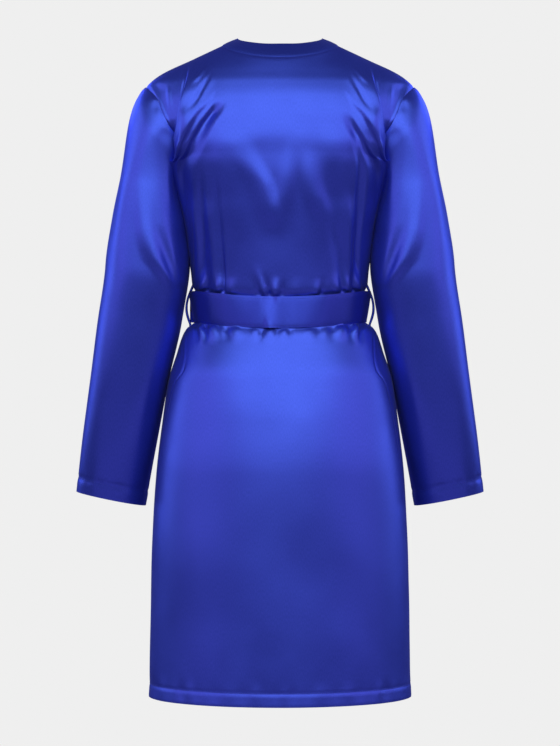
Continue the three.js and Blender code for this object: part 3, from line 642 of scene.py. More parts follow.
@dataclass
class Sheet:
    """A panel of cloth as rows of points, its outer face outwards."""

    grid: np.ndarray
    closed: bool = False  # joined round, its last column to its first
    upright: bool = False  # the warp hangs straight down, however the rows run
    crosswise: bool = False  # the warp runs along the rows, as on a belt

    def measure(self) -> np.ndarray:
        """Works out each point's place on the flat cloth in metres, weft first and then warp.

        Returns:
            The places, in metres.
        """
        step = np.linalg.norm(np.diff(self.grid, axis=1), axis=-1)
        across = np.concatenate([np.zeros((len(self.grid), 1)), np.cumsum(step, axis=1)], axis=1)
        across -= across[:, -1:] / 2
        rise = np.linalg.norm(np.diff(self.grid, axis=0), axis=-1).mean(axis=1)
        along = np.concatenate([[0.0], np.cumsum(rise)])[:, None]
        if self.upright:
            along = self.grid[..., 2]
        pair = (along, across) if self.crosswise else (across, along)
        return np.stack(np.broadcast_arrays(*pair), axis=-1) * MM

    def build(self, name: str, material: bpy.types.Material, outward: np.ndarray) -> bpy.types.Object:
        """Builds the sheet as an object, a single face thick.

        Args:
            name: The object's name.
            material: Its finish.
            outward: Which way is out at the middle of the sheet.

        Returns:
            The object.
        """
        rows, columns = self.grid.shape[:2]
        index = np.arange(rows * columns).reshape(rows, columns)
        flat = self.measure()
        if self.closed:
            index = np.concatenate([index, index[:, :1]], axis=1)
            wide = np.linalg.norm(self.grid[:, 0] - self.grid[:, -1], axis=-1, keepdims=True) * MM
            last = flat[:, :1].copy()
            last[..., int(self.crosswise)] = flat[:, -1:, int(self.crosswise)] + wide
            flat = np.concatenate([flat, last], axis=1)
        corners = [(0, 0), (0, 1), (1, 1), (1, 0)]
        r, c = rows // 2, columns // 2
        one = np.cross(self.grid[r, c + 1] - self.grid[r, c], self.grid[r + 1, c] - self.grid[r, c])
        if one @ outward < 0:
            corners.reverse()
        high, wide = index.shape[0] - 1, index.shape[1] - 1
        faces = np.stack([index[a : a + high, b : b + wide] for a, b in corners], axis=-1).reshape(-1, 4)
        uv = np.stack([flat[a : a + high, b : b + wide] for a, b in corners], axis=2).reshape(-1, 2)
        mesh = bpy.data.meshes.new(name)
        mesh.from_pydata((self.grid.reshape(-1, 3) * MM).tolist(), [], faces.tolist())
        layer = mesh.uv_layers.new(name="cloth")
        layer.data.foreach_set("uv", uv.astype(np.float32).ravel())
        mesh.materials.append(material)
        mesh.update()
        piece = bpy.data.objects.new(name, mesh)
        bpy.context.collection.objects.link(piece)
        return piece


def select_only(piece: bpy.types.Object) -> None:
    """Makes one object the only one selected, and active.

    Args:
        piece: The object.
    """
    bpy.ops.object.select_all(action="DESELECT")
    piece.select_set(True)
    bpy.context.view_layer.objects.active = piece


def finish_wall(piece: bpy.types.Object, wall: float) -> None:
    """Gives a sheet its thickness, inwards from its outer face, and smooth shading.

    Args:
        piece: The sheet.
        wall: Thickness of the cloth.
    """
    select_only(piece)
    solid = piece.modifiers.new("wall", "SOLIDIFY")
    solid.thickness = wall * MM
    solid.offset = -1.0
    bpy.ops.object.modifier_apply(modifier=solid.name)
    bpy.ops.object.shade_smooth_by_angle(angle=math.radians(50))


def close_ends(piece: bpy.types.Object, crease: float) -> None:
    """Closes a tube's two open ends, turns its faces outwards and shades it smooth.

    Args:
        piece: The tube.
        crease: The angle in degrees from which an edge stays sharp.
    """
    select_only(piece)
    bpy.ops.object.mode_set(mode="EDIT")
    bpy.ops.mesh.select_all(action="DESELECT")
    bpy.ops.mesh.select_non_manifold()
    bpy.ops.mesh.edge_face_add()
    bpy.ops.mesh.select_all(action="SELECT")
    bpy.ops.mesh.normals_make_consistent(inside=False)
    bpy.ops.object.mode_set(mode="OBJECT")
    bpy.ops.object.shade_smooth_by_angle(angle=math.radians(crease))


def settle(piece: bpy.types.Object, slot: str, *nodes: str) -> bpy.types.Object:
    """Hangs a finished piece on the root and hides the nodes that it stands for.

    Args:
        piece: The finished piece.
        slot: Not used.
        *nodes: The nodes that it replaces.

    Returns:
        The piece.
    """
    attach(piece, "root")
    if nodes:
        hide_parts(*nodes)
    LOG.info("%s: %d faces", piece.name, len(piece.data.polygons))
    return piece


def make_cloth(
    sheet: Sheet, node: str, slot: str, satin: bpy.types.Material, wall: float, outward: Sequence[float]
) -> bpy.types.Object:
    """Makes a sheet of cloth that stands for one node and is named after it.

    Args:
        sheet: The sheet's points.
        node: The node that it replaces.
        slot: Not used; handed on to settle, which ignores it.
        satin: Its finish.
        wall: Thickness of the cloth.
        outward: Which way is out at the middle of the sheet.

    Returns:
        The piece.
    """
    piece = sheet.build(f"gown_{node}", satin, np.array(outward, float))
    finish_wall(piece, wall)
    return settle(piece, slot, node)


# ---------------------------------------------------------------------------------------------------
# Body panels


def mirrored(folds: Sequence[Fold], lean: float = 1.0) -> tuple[Fold, ...]:
    """Turns folds over to the other side, a little deeper or shallower.

    Args:
        folds: The folds of one side.
        lean: How their depth compares.

    Returns:
        The turned folds.
    """
    return tuple(
        Fold(tuple((-x, z) for x, z in f.way), f.right, f.left, f.rise * lean, f.lead, f.tail) for f in folds
    )


def edge_roll(distance: np.ndarray, deep: float = 0.9, reach: float = 3.2) -> np.ndarray:
    """Returns how far a seamed edge turns down into its seam."""
    return -deep * fade(distance, reach)


@dataclass
class Panel:
    """What the back and the two fronts share: folds, gathers, seams and a turned hem."""

    satin: bpy.types.Material
    folds: tuple[Fold, ...] = ()
    gathers_above: tuple[Gather, ...] = ()
    gathers_below: tuple[Gather, ...] = ()
    seed: int = 1
    unevenness: float = 0.8
    hem_groove: float = 0.45  # how far the hem's stitches pull the cloth in
    hem_full: float = 0.3  # how far the doubled cloth below them stands out
    hem_flare: float = 0.05  # the slope at which it leans out
    hem_pinch: float = 0.65  # the puckers across it
    puff: float = 3.2  # how far the skirt stands out straight below the belt
    dip: float = 2.6  # how far it falls in again below that

    def pucker(self, points: np.ndarray) -> np.ndarray:
        """Works out the turned hem's fullness and the small pinches that its stitching makes.

        Args:
            points: Points of the panel.

        Returns:
            The rise at each point.
        """
        x, z = points[..., 0], points[..., 2]
        line = HEM_Z + HEM_TURN
        full = self.hem_full * climb(line - z, over=4) * climb(z - HEM_Z, over=3, start=-0.9)
        full += self.hem_flare * np.maximum(line - z, 0)
        pinch = np.sin(x / 6.1 + 2.2 * np.sin(x / 23.0)) * np.sin(x / 15.3 + 1.1)
        near = fade(z - line, np.where(z > line, 9.0, 18.0))
        return full - self.hem_groove * fade(z - line, 1.8) + self.hem_pinch * pinch * near

    def relief(self, points: np.ndarray) -> np.ndarray:
        """Works out how far the folds, gathers and hem raise the panel.

        Args:
            points: Points of the panel.

        Returns:
            The rise at each point.
        """
        x, z = points[..., 0], points[..., 2]
        total = sum((fold.height(x, z) for fold in self.folds), np.zeros(x.shape))
        above, below = z - BELT_TOP, BELT_BOTTOM - z
        for pleats, away in ((self.gathers_above, above), (self.gathers_below, below)):
            for pleat in pleats:
                total += pleat.height(x, away) * (away > -UNDER_BELT)
        total += self.puff * climb(below, over=2.5, start=-0.5) * np.exp(-np.maximum(below, 0) / 4)
        gentle = climb(below, over=20, start=1) * (1 - climb(below, over=62, start=21))
        total -= self.dip * gentle * climb(np.abs(points[..., 1]), over=55, start=20)
        clear = climb(above, over=10) + climb(below, over=10)
        return total + self.pucker(points) + wander(points, self.unevenness, self.seed) * clear

    def below_shoulder(self, base: np.ndarray) -> np.ndarray:
        """Returns how far each row of the panel lies below the shoulder's, for its seam's turn."""
        return (len(base) - 1 - np.arange(len(base)))[:, None] * ROW_STEP


# Each fold gives its line, its reach on the left and on the right, its rise, its lead and its tail.
BACK_SIDE_FOLDS = (
    # The sharp crease beside the armhole: the back stands up along it and drops away on its outer side.
    Fold(
        ((-131, -26), (-138, -69), (-142.5, -87), (-147, -114), (-149.5, -140), (-149, -205), (-147, -280)),
        4.5, 44, 9.5, 0.26, 0.44,
    ),
    Fold(((-149.5, -118), (-147.5, -190), (-146, -262)), 2.4, 12, 2.6, 0.35, 0.4),
    # From that crease the cloth lies back to the armhole's seam, with two faint folds on the way.
    Fold(((-184, -50), (-176, -78), (-167, -102), (-158, -124), (-151, -143)), 12, 30, -2.5, 0.2, 0.3),
    Fold(((-141, -34), (-145, -60), (-149, -94)), 6, 6, 1.0),
    Fold(((-166, -58), (-164, -84), (-160, -110)), 6, 6, 1.2),
    # The second fold: a bright ridge, steep on its inner side, and the trough that it drops into.
    Fold(
        ((-94, -66), (-106, -90), (-123, -111), (-135, -138), (-139.5, -168), (-141, -200), (-141, -270)),
        30, 5, 5.0, 0.3, 0.36,
    ),
    # Three short folds near the shoulder.
    Fold(((-111, -62), (-119, -82), (-132, -108)), 6, 7, -1.8, 0.4, 0.5),
    Fold(((-109, -32), (-117, -48), (-131, -68)), 7, 7, 1.5, 0.4, 0.5),
    Fold(((-103, -44), (-110, -62), (-124, -86)), 6, 7, -1.2, 0.4, 0.5),
)
BACK_FOLDS = (
    *BACK_SIDE_FOLDS,
    *mirrored(BACK_SIDE_FOLDS, 0.92),
    Fold(
        ((-91, -86), (-99, -102), (-114, -126), (-123, -150), (-128, -180), (-130, -215), (-131, -275)),
        6, 20, -6.5, 0.12, 0.42,
    ),
    Fold(
        ((98, -104), (108, -129), (117, -150), (126, -186), (130, -225), (131, -275)),
        15, 6, -5.0, 0.2, 0.6,
    ),
    # Long soft folds from the shoulder blades to the belt.
    Fold(((-109, -170), (-110, -290), (-119, -366)), 9, 9, -3.2, 0.4, 0.2),
    Fold(((-118, -210), (-121, -300), (-127, -366)), 7, 8, 2.4, 0.5, 0.3),
    Fold(((-88, -190), (-85.5, -280), (-83, -366)), 8, 3.2, -2.8, 0.4, 0.15),
    Fold(((-98, -230), (-97, -320), (-95, -366)), 9, 8, 1.8, 0.5, 0.2),
    Fold(((105, -122), (110, -198), (112, -300), (118, -366)), 8, 6.5, -4.2, 0.3, 0.2),
    Fold(((72, -160), (78, -258), (98, -366)), 18, 12, -3.0, 0.4, 0.4),
    Fold(((93, -200), (101, -300), (107, -366)), 8, 7, 2.2, 0.5, 0.25),
    # The fullness that keeps the back upright beside and below the armholes.
    Fold(((-134, -96), (-137, -150), (-136, -190), (-130, -300)), 10, 46, 8, 0.35, 0.6),
    Fold(((134, -96), (137, -150), (136, -190), (130, -300)), 46, 10, 8, 0.35, 0.6),
    # The shallow W across the middle of the back: three soft rises that grow towards their lower ends.
    Fold(((-64, -128), (-43, -176), (-22, -216), (-4, -290)), 32, 20, 4.0, 0.7, 0.3),
    Fold(((26, -116), (15, -178), (-3, -280)), 20, 22, 2.6, 0.66, 0.34),
    Fold(((28, -120), (38, -186), (58, -270)), 20, 24, 3.4, 0.7, 0.3),
)
BACK_GATHERS_ABOVE = gathers(
    (-117.5, 6, 3.0, 46, 3), (-108, 6, -2.6, 60, 2), (-94, 7, 2.8, 34, 9), (-84, 4, -3.0, 78, 0),
    (-72, 8, 1.6, 30, 3), (-30, 7, -2.0, 30, -10), (-21, 6, 2.6, 46, -16), (-15, 4, -3.4, 34, -9),
    (-7, 6, 3.8, 30, 1), (3, 5, -2.4, 26, 2), (22, 10, 1.0, 30, 2), (53, 6, 2.4, 26, 3),
    (60, 5, -1.8, 30, 3), (84, 7, 1.8, 36, -4), (93, 6, -2.6, 64, -6), (101, 6, 2.6, 50, -6),
    (109, 5, -2.8, 70, -5), (118, 6, 3.0, 56, -5),
)
BACK_GATHERS_BELOW = gathers(
    (-124, 5, -2.4, 34, 0), (-117, 5, 2.6, 36, -1), (-110, 5, -3.2, 30, -2), (-98, 8, 2.6, 32, -3),
    (-78, 7, -2.8, 26, -1), (-64, 10, 1.8, 30, -2), (-36, 8, 1.6, 24, -3), (-26, 5, -3.8, 26, -5),
    (-14, 7, 2.6, 26, -1), (-4, 4, -2.4, 20, 0), (6, 6, 2.0, 24, 2), (14, 5, -2.2, 20, 4),
    (42, 9, 1.4, 24, 2), (56, 7, -1.8, 24, 2), (76, 7, -2.4, 26, 2), (90, 9, 2.4, 30, 3),
    (103, 6, -3.0, 32, 4), (112, 5, 2.6, 34, 3), (120, 5, -2.8, 36, 2),
)


@dataclass
class Back(Panel):
    """The back, cut in one piece from shoulder to hem."""

    columns: int = 200
    clear: float = 8.5  # how far it hangs clear of the figure below the shoulder blades
    fill: float = 5.8  # how much further below the armholes
    folds: tuple[Fold, ...] = BACK_FOLDS
    gathers_above: tuple[Gather, ...] = BACK_GATHERS_ABOVE
    gathers_below: tuple[Gather, ...] = BACK_GATHERS_BELOW
    seed: int = 11

    def base(self) -> np.ndarray:
        """Works out the back's points before its folds, from the hem up.

        Returns:
            Rows of points.
        """
        even = np.linspace(0, 1, self.columns // 2 + 1)
        half = np.interp(even, (0, 0.26, 0.44, 0.9, 1), (0, 0.42, 0.58, 0.94, 1))
        share = np.concatenate([-half[:0:-1], half])
        s, side = np.abs(share), np.sign(share)
        z = PANEL_ROWS[:, None]
        angle = np.radians(SIDE_SEAM.read("angle", z)) * s
        below = by_angle(side, angle, np.broadcast_to(z, angle.shape))
        up = armhole_share(np.linspace(0, 1, ROWS_ABOVE + 1)[1:])[:, None]
        neck_x = NECK_HALF * np.sin(np.minimum(1, s / NECK_COLUMNS) * math.pi / 2)
        along = np.maximum(0, (s - NECK_COLUMNS) / (1 - NECK_COLUMNS))
        on_neck = s <= NECK_COLUMNS
        top_x = np.where(on_neck, neck_x, SHOULDER_SEAM.read("x", along))
        top_z = np.where(on_neck, neck_seam_z(neck_x), SHOULDER_SEAM.read("z", along))
        foot = float(FIGURE.read("half", UNDERARM_Z))
        arm_x, arm_z = ARMHOLE.read("behind", up), ARMHOLE.read("z", up)
        low_x = foot * np.sin(math.pi / 2 * s)
        x = (1 - up) * low_x + up * top_x + s * (arm_x - (1 - up) * foot - up * SHOULDER_TIP_X)
        z = up * top_z + (1 - s) * (1 - up) * UNDERARM_Z + s * (arm_z - up * SHOULDER_TIP_Z)
        above = by_place(BEHIND, side * x, z)
        above[-1, ~on_neck, 1] = 0.0
        return np.concatenate([below, above])

    def hang(self, points: np.ndarray) -> np.ndarray:
        """Works out how far the back hangs clear of the figure, straight down from each shoulder blade.

        Args:
            points: Points of the back.

        Returns:
            The rise at each point.
        """
        away, down = np.abs(points[..., 0]), -points[..., 2]
        span = climb(away, over=82, start=22) * (1 - 0.6 * climb(away, over=30, start=118))
        long = self.clear * climb(down, over=82, start=104) * (1 - climb(down, over=110, start=235))
        under_arm = self.fill * climb(down, over=46, start=118) * (1 - climb(down, over=76, start=164))
        return span * (long + under_arm)

    def shape(self) -> np.ndarray:
        """Works out the back's finished points.

        Returns:
            Rows of points.
        """
        base = self.base()
        across = np.cumsum(np.linalg.norm(np.diff(base, axis=1, prepend=base[:, :1]), axis=-1), axis=1)
        edge = np.minimum(across, across[:, -1:] - across)
        top = self.below_shoulder(base)
        relief = (self.relief(base) + self.hang(base)) * climb(edge, over=5) * climb(top, over=14)
        relief += edge_roll(edge) + edge_roll(top, 0.7)
        return sink(base + figure_normals(base) * relief[..., None])

    def build(self) -> None:
        """Builds the back."""
        sheet = Sheet(self.shape(), upright=True)
        piece = make_cloth(sheet, "back", "satin", self.satin, SATIN_WALL, outward=(0, -1, 0))


FRONT_SIDE_FOLDS = (
    # Folds that fall from the shoulder over the bust, and those that the belt draws in.
    Fold(((-128, -60), (-124, -130), (-106, -300)), 13, 15, 4.2, 0.4, 0.5),
    Fold(((-112, -90), (-108, -160), (-88, -362)), 11, 10, -4.6, 0.4, 0.4),
    Fold(((-150, -60), (-146, -110), (-139, -170)), 8, 10, -3.2, 0.4, 0.5),
    Fold(((-90, -200), (-80, -280), (-66, -366)), 9, 10, 3.4, 0.5, 0.3),
    Fold(((-70, -240), (-60, -300), (-44, -366)), 8, 9, -3.4, 0.5, 0.3),
    Fold(((-104, -412), (-110, -450), (-120, -520)), 9, 10, -3.4, 0.3, 0.7),
    Fold(((-62, -412), (-68, -470), (-78, -570)), 11, 12, -3.6, 0.3, 0.7),
)
FRONT_GATHERS_ABOVE = gathers(
    (-116, 6, 2.8, 50, 4), (-103, 6, -2.8, 66, 6), (-88, 6, 3.0, 44, 8), (-72, 6, -2.6, 58, 5),
    (-57, 6, 2.4, 36, 3), (-40, 6, -2.8, 48, 0), (44, 6, 2.6, 40, 2), (58, 6, -2.8, 60, -4),
    (74, 6, 2.6, 46, -6), (89, 6, -2.8, 64, -5), (103, 6, 2.8, 50, -5), (115, 6, -2.4, 58, -4),
)
FRONT_GATHERS_BELOW = gathers(
    (-117, 7, -2.6, 44, -3), (-102, 7, 2.8, 40, -4), (-88, 7, -3.0, 56, -5), (-72, 7, 2.6, 40, -4),
    (-54, 7, -2.8, 60, -5), (-38, 7, 2.4, 42, -3), (40, 7, -2.8, 60, 4), (56, 7, 2.6, 44, 5),
    (72, 7, -3.0, 54, 6), (88, 7, 2.6, 42, 5), (103, 7, -2.8, 50, 4), (116, 7, 2.4, 40, 3),
)


@dataclass
class Front(Panel):
    """One front, from its side seam and armhole to the neckband's seam."""

    side: int = LEFT
    columns: int = 104
    folds: tuple[Fold, ...] = (*FRONT_SIDE_FOLDS, *mirrored(FRONT_SIDE_FOLDS, 0.9))
    gathers_above: tuple[Gather, ...] = FRONT_GATHERS_ABOVE
    gathers_below: tuple[Gather, ...] = FRONT_GATHERS_BELOW
    seed: int = 23

    def base(self) -> np.ndarray:
        """Works out the front's points before its folds, from the hem up.

        Returns:
            Rows of points.
        """
        share = np.linspace(0, 1, self.columns + 1)
        z = PANEL_ROWS[:, None]
        edge = math.pi - np.arcsin(FRONT_EDGE.read("x", z) / FIGURE.read("half", z))
        seam = np.radians(SIDE_SEAM.read("angle", z))
        angle = seam + (edge - seam) * share
        below = by_angle(self.side, angle, np.broadcast_to(z, angle.shape))
        up = armhole_share(np.linspace(0, 1, ROWS_ABOVE + 1)[1:])[:, None]
        edge_z = UNDERARM_Z + (NECK_TOP - UNDERARM_Z) * up
        edge_x = FRONT_EDGE.read("x", edge_z)
        foot, foot_edge = float(FIGURE.read("half", UNDERARM_Z)), float(FRONT_EDGE.read("x", UNDERARM_Z))
        foot_angle = math.pi - math.asin(foot_edge / foot)
        top_x, top_z = SHOULDER_SEAM.read("x", 1 - share), SHOULDER_SEAM.read("z", 1 - share)
        low_x = foot * np.sin(math.pi / 2 + (foot_angle - math.pi / 2) * share)
        arm_x, arm_z = ARMHOLE.read("before", up), ARMHOLE.read("z", up)
        corner_x = (1 - up) * ((1 - share) * foot + share * foot_edge)
        corner_x = corner_x + up * ((1 - share) * SHOULDER_TIP_X + share * NECK_HALF)
        x = (1 - up) * low_x + up * top_x + (1 - share) * arm_x + share * edge_x - corner_x
        corner_z = (1 - up) * UNDERARM_Z + up * ((1 - share) * SHOULDER_TIP_Z + share * NECK_TOP)
        z = (1 - up) * UNDERARM_Z + up * top_z + (1 - share) * arm_z + share * edge_z - corner_z
        above = by_place(BEFORE, self.side * x, z)
        above[-1, :, 1] = 0.0
        return np.concatenate([below, above])

    def shape(self) -> np.ndarray:
        """Works out the front's finished points.

        Returns:
            Rows of points.
        """
        base = self.base()
        step = np.linalg.norm(np.diff(base, axis=1), axis=-1).mean(axis=1)[:, None]
        column = np.arange(self.columns + 1)[None, :]
        seam = column * step
        top = self.below_shoulder(base)
        relief = self.relief(base) * climb(seam, over=14) * climb(top, over=14)
        relief += edge_roll(seam) + edge_roll(top, 0.7) + edge_roll((self.columns - column) * step, 0.6)
        if self.side == RIGHT:
            relief += wrap_lift(base[..., 0], base[..., 2])
        return sink(base + figure_normals(base) * relief[..., None])

    def build(self) -> None:
        """Builds the front."""
        name = SIDE_NAMES[self.side]
        sheet, outward = Sheet(self.shape(), upright=True), (self.side * 0.6, 1, 0)
        piece = make_cloth(sheet, f"front_{name}", "satin", self.satin, SATIN_WALL, outward)


# ---------------------------------------------------------------------------------------------------
# Sleeves


SLEEVE_FOLDS = (
    # Angles round from the underarm by way of the back, and heights down the sleeve's middle line.
    # The fullness of the upper arm, and the underarm side, which rests against the body.
    Fold(((100, -96), (92, -200), (84, -268)), 84, 80, 5.0, 0.64, 0.36),
    Fold(((0, -186), (0, -262), (0, -392)), 34, 34, 3.6, 0.35, 0.5),
    Fold(((360, -186), (360, -262), (360, -392)), 34, 34, 3.6, 0.35, 0.5),
    # The elbow's folds.
    Fold(((98, -196), (91, -271), (79, -318), (50, -366)), 15, 15, 4.4, 0.72, 0.28),
    Fold(((74, -262), (60, -318), (36, -372)), 13, 12, -2.2, 0.5, 0.5),
    Fold(((64, -150), (60, -200), (48, -262)), 14, 14, 1.6, 0.5, 0.5),
    Fold(((42, -140), (42, -190), (32, -250)), 12, 13, -1.6, 0.5, 0.5),
    Fold(((128, -150), (132, -240), (126, -360)), 24, 24, 1.6, 0.4, 0.5),
    Fold(((60, -430), (66, -520), (62, -620)), 24, 24, 1.6, 0.4, 0.5),
    Fold(((100, -460), (104, -560), (98, -650)), 26, 26, -1.4, 0.4, 0.5),
    Fold(((280, -240), (300, -310), (330, -372)), 18, 18, 3.4, 0.4, 0.4),
    Fold(((256, -250), (276, -330), (306, -400)), 18, 18, -3.0, 0.4, 0.4),
    Fold(((232, -150), (240, -260), (232, -380)), 22, 22, 2.2, 0.4, 0.5),
)


@dataclass
class Sleeve:
    """A set-in sleeve with a turned cuff, eased into its armhole."""

    satin: bpy.types.Material
    side: int
    count: int = 148
    cap_rows: int = 44
    tube_rows: int = 122
    tube_top: float = 0.25  # how far down the sleeve its first full ring lies, as a share
    fullness: float = 0.84  # below 1 a ring is squarer than an ellipse
    unevenness: float = 0.7
    seam_pleat: float = 0.5  # the small pleats that ease the cap into the armhole
    cuff_turn: float = 18.0
    cuff_groove: float = 0.9
    cuff_full: float = 0.5
    cuff_pinch: float = 0.35

    def armhole(self) -> tuple[np.ndarray, np.ndarray]:
        """Works out the armhole seam as a ring, and how far up it each point lies.

        Returns:
            The ring's points and how far up each lies.
        """
        turn = np.arange(self.count) / self.count * 2
        behind = turn < 1
        row = np.where(behind, turn, 2 - turn)
        up = armhole_share(row)
        z = ARMHOLE.read("z", up)
        back = by_place(BEHIND, self.side * ARMHOLE.read("behind", up), z)
        front = by_place(BEFORE, self.side * ARMHOLE.read("before", up), z)
        return np.where(behind[:, None], back, front), row

    def ring(self, at: np.ndarray) -> np.ndarray:
        """Works out rings of the sleeve below its armhole.

        Args:
            at: How far down the sleeve each ring lies, from 0 to 1.

        Returns:
            The rings, one for each place.
        """
        at = np.atleast_1d(at)[:, None]
        angle = np.arange(self.count) / self.count * 2 * math.pi
        tilt = np.radians(SLEEVE.read("tilt", at))
        round_parts = (np.cos(angle), np.sin(angle))
        cosine, sine = (np.sign(part) * np.abs(part) ** self.fullness for part in round_parts)
        inward = SLEEVE.read("half", at) * cosine
        x = self.side * (SLEEVE.read("x", at) - inward * np.cos(tilt))
        y = SLEEVE.read("y", at) - SLEEVE.read("deep", at) * sine
        z = SLEEVE.read("z", at) - inward * np.sin(tilt)
        return np.stack(np.broadcast_arrays(x, y, z), axis=-1)

    def cap(self) -> np.ndarray:
        """Works out the rows between the armhole and the first full ring.

        Returns:
            Rows of points.
        """
        seam, row = self.armhole()
        first, below = self.ring(self.tube_top)[0], self.ring(self.tube_top + 0.03)[0]
        reach = np.linalg.norm(first - seam, axis=-1, keepdims=True)
        fall = np.radians(SLEEVE_START.read("fall", row))
        ease = np.where(np.arange(self.count) * 2 < self.count, -0.14, 0.08) * np.sin(math.pi * row)
        out = np.stack([self.side * np.cos(fall), ease, -np.sin(fall)], axis=-1) * reach * 0.9
        down = unit(below - first) * reach * 1.1
        t = np.linspace(0, 1, self.cap_rows + 1)[:-1, None, None]
        points = hermite(t, seam, out, first, down)
        points[0] += figure_normals(seam) * edge_roll(0.0) / 2
        return points

    def shape(self) -> np.ndarray:
        """Works out the sleeve's finished points, from the armhole down.

        Returns:
            Rows of points.
        """
        at = np.linspace(self.tube_top, 1, self.tube_rows + 1)
        base = np.concatenate([self.cap(), self.ring(at)])
        across = np.roll(base, -1, axis=1) - np.roll(base, 1, axis=1)
        along = np.gradient(base, axis=0)
        normal = unit(np.cross(across, along) * -self.side)
        angle = np.degrees(np.arange(self.count) / self.count * 2 * math.pi)[None, :]
        down = base[..., 2]
        angle = np.broadcast_to(angle, down.shape)
        relief = sum((fold.height(angle, down) for fold in SLEEVE_FOLDS), np.zeros(down.shape))
        relief += wander(base * np.array([self.side, 1, 1]), self.unevenness, seed=31)
        row = np.arange(len(base))[:, None]
        relief *= climb(row, over=14)
        relief += self.seam_pleat * np.sin(angle / 5.5) * fade(row - 2, 3.0) * climb(row, over=2)
        above_turn = (len(base) - 1 - row) * SLEEVE_STEP - self.cuff_turn
        relief -= self.cuff_groove * fade(above_turn, 2.4)
        relief += self.cuff_full * climb(-above_turn, over=4)
        pinch = np.sin(angle / 4.3 + 1.7 * np.sin(angle / 19))
        relief += self.cuff_pinch * pinch * fade(above_turn, 7.0)
        return base + normal * relief[..., None]

    def build(self) -> None:
        """Builds the sleeve."""
        name = SIDE_NAMES[self.side]
        sheet, outward = Sheet(self.shape(), closed=True, upright=True), (self.side, 0, 0)
        piece = make_cloth(sheet, f"sleeve_{name}", "satin", self.satin, SATIN_WALL, outward)


# ---------------------------------------------------------------------------------------------------
# Neckband


@dataclass
class Neckband:
    """The folded band round the neck and down both front edges."""

    satin: bpy.types.Material
    strips: int = 14
    steps: int = 120
    wall: float = 1.6
    wide: float = 30.0
    full: float = 0.9  # how far the doubled cloth rises between seam and fold
    ripple: float = 0.25
    free_half: float = 63.0  # half width of the neck opening at the band's free edge
    free_deep: float = 33.0  # how far behind the side line that edge runs
    free_drop: float = 12.5  # how far it dips at the centre back

    def crown(self, across: np.ndarray) -> np.ndarray:
        """Returns the band's soft fullness between its seam and its fold."""
        full = self.full * np.sin(math.pi * np.clip(across, 0, 1))
        return full + edge_roll(across * self.wide, deep=1.0, reach=2.4)

    def back_points(self) -> np.ndarray:
        """Works out the stretch round the back of the neck.

        Returns:
            Rows of points.
        """
        angle = np.linspace(-1, 1, self.steps + 1) * math.pi / 2
        across = np.linspace(0, 1, self.strips + 1)[:, None]
        seam_x = NECK_HALF * np.sin(angle)
        seam = by_place(BEHIND, seam_x, neck_seam_z(seam_x))
        high = BAND_TOP - self.free_drop * np.cos(angle)
        free = np.stack([self.free_half * np.sin(angle), -self.free_deep * np.cos(angle), high], axis=-1)
        points = seam + (free - seam) * across[..., None]
        normal = unit(np.cross(np.gradient(points, axis=1), np.gradient(points, axis=0)))
        normal[0] = figure_normals(seam)
        normal[:, [0, -1]] = figure_normals(points[:, [0, -1]])
        lift = self.crown(across) * np.ones_like(angle) + self.ripple * np.sin(seam_x / 11 + 1.3)
        return points + normal * lift[..., None]

    def front_points(self, side: int) -> np.ndarray:
        """Works out the stretch down one front edge.

        Args:
            side: LEFT or RIGHT.

        Returns:
            Rows of points.
        """
        up = armhole_share(np.linspace(0, 1, ROWS_ABOVE + 1)[1:])
        z = np.concatenate([PANEL_ROWS, UNDERARM_Z + (NECK_TOP - UNDERARM_Z) * up])[::-1]
        across = np.linspace(0, 1, self.strips + 1)[:, None]
        turn = climb(NECK_TOP - z, over=BAND_TURN_Z)
        width = BAND_AT_NECK + (BAND_WIDTH - BAND_AT_NECK) * turn
        x = FRONT_EDGE.read("x", z) - width * across
        height = z + (BAND_TOP - NECK_TOP) * (1 - turn) * across
        points = by_place(BEFORE, side * x, height)
        points[:, 0, 1] = 0.0
        lift = self.crown(across) * np.ones_like(z)
        lift += self.ripple * np.sin(z / 12 + across * 2) * climb(NECK_TOP - z, over=20)
        if side == RIGHT:
            lift += wrap_lift(points[..., 0], points[..., 2])
        return sink(points + figure_normals(points) * lift[..., None])

    def build(self) -> None:
        """Builds the band's three stretches."""
        stretches = (
            ("back", self.back_points(), (0.222, 0.031), (0, -0.6, 0.8)),
            ("left", self.front_points(LEFT), (0.032, 1.07), (0, 1, 0)),
            ("right", self.front_points(RIGHT), (0.032, 1.07), (0, 1, 0)),
        )
        for name, points, flat, outward in stretches:
            node, carrier = f"neckband_{name}", "back" if name == "back" else f"front_{name}"
            piece = make_cloth(Sheet(points), node, "satin_band", self.satin, self.wall, outward)


# ---------------------------------------------------------------------------------------------------
# Belt


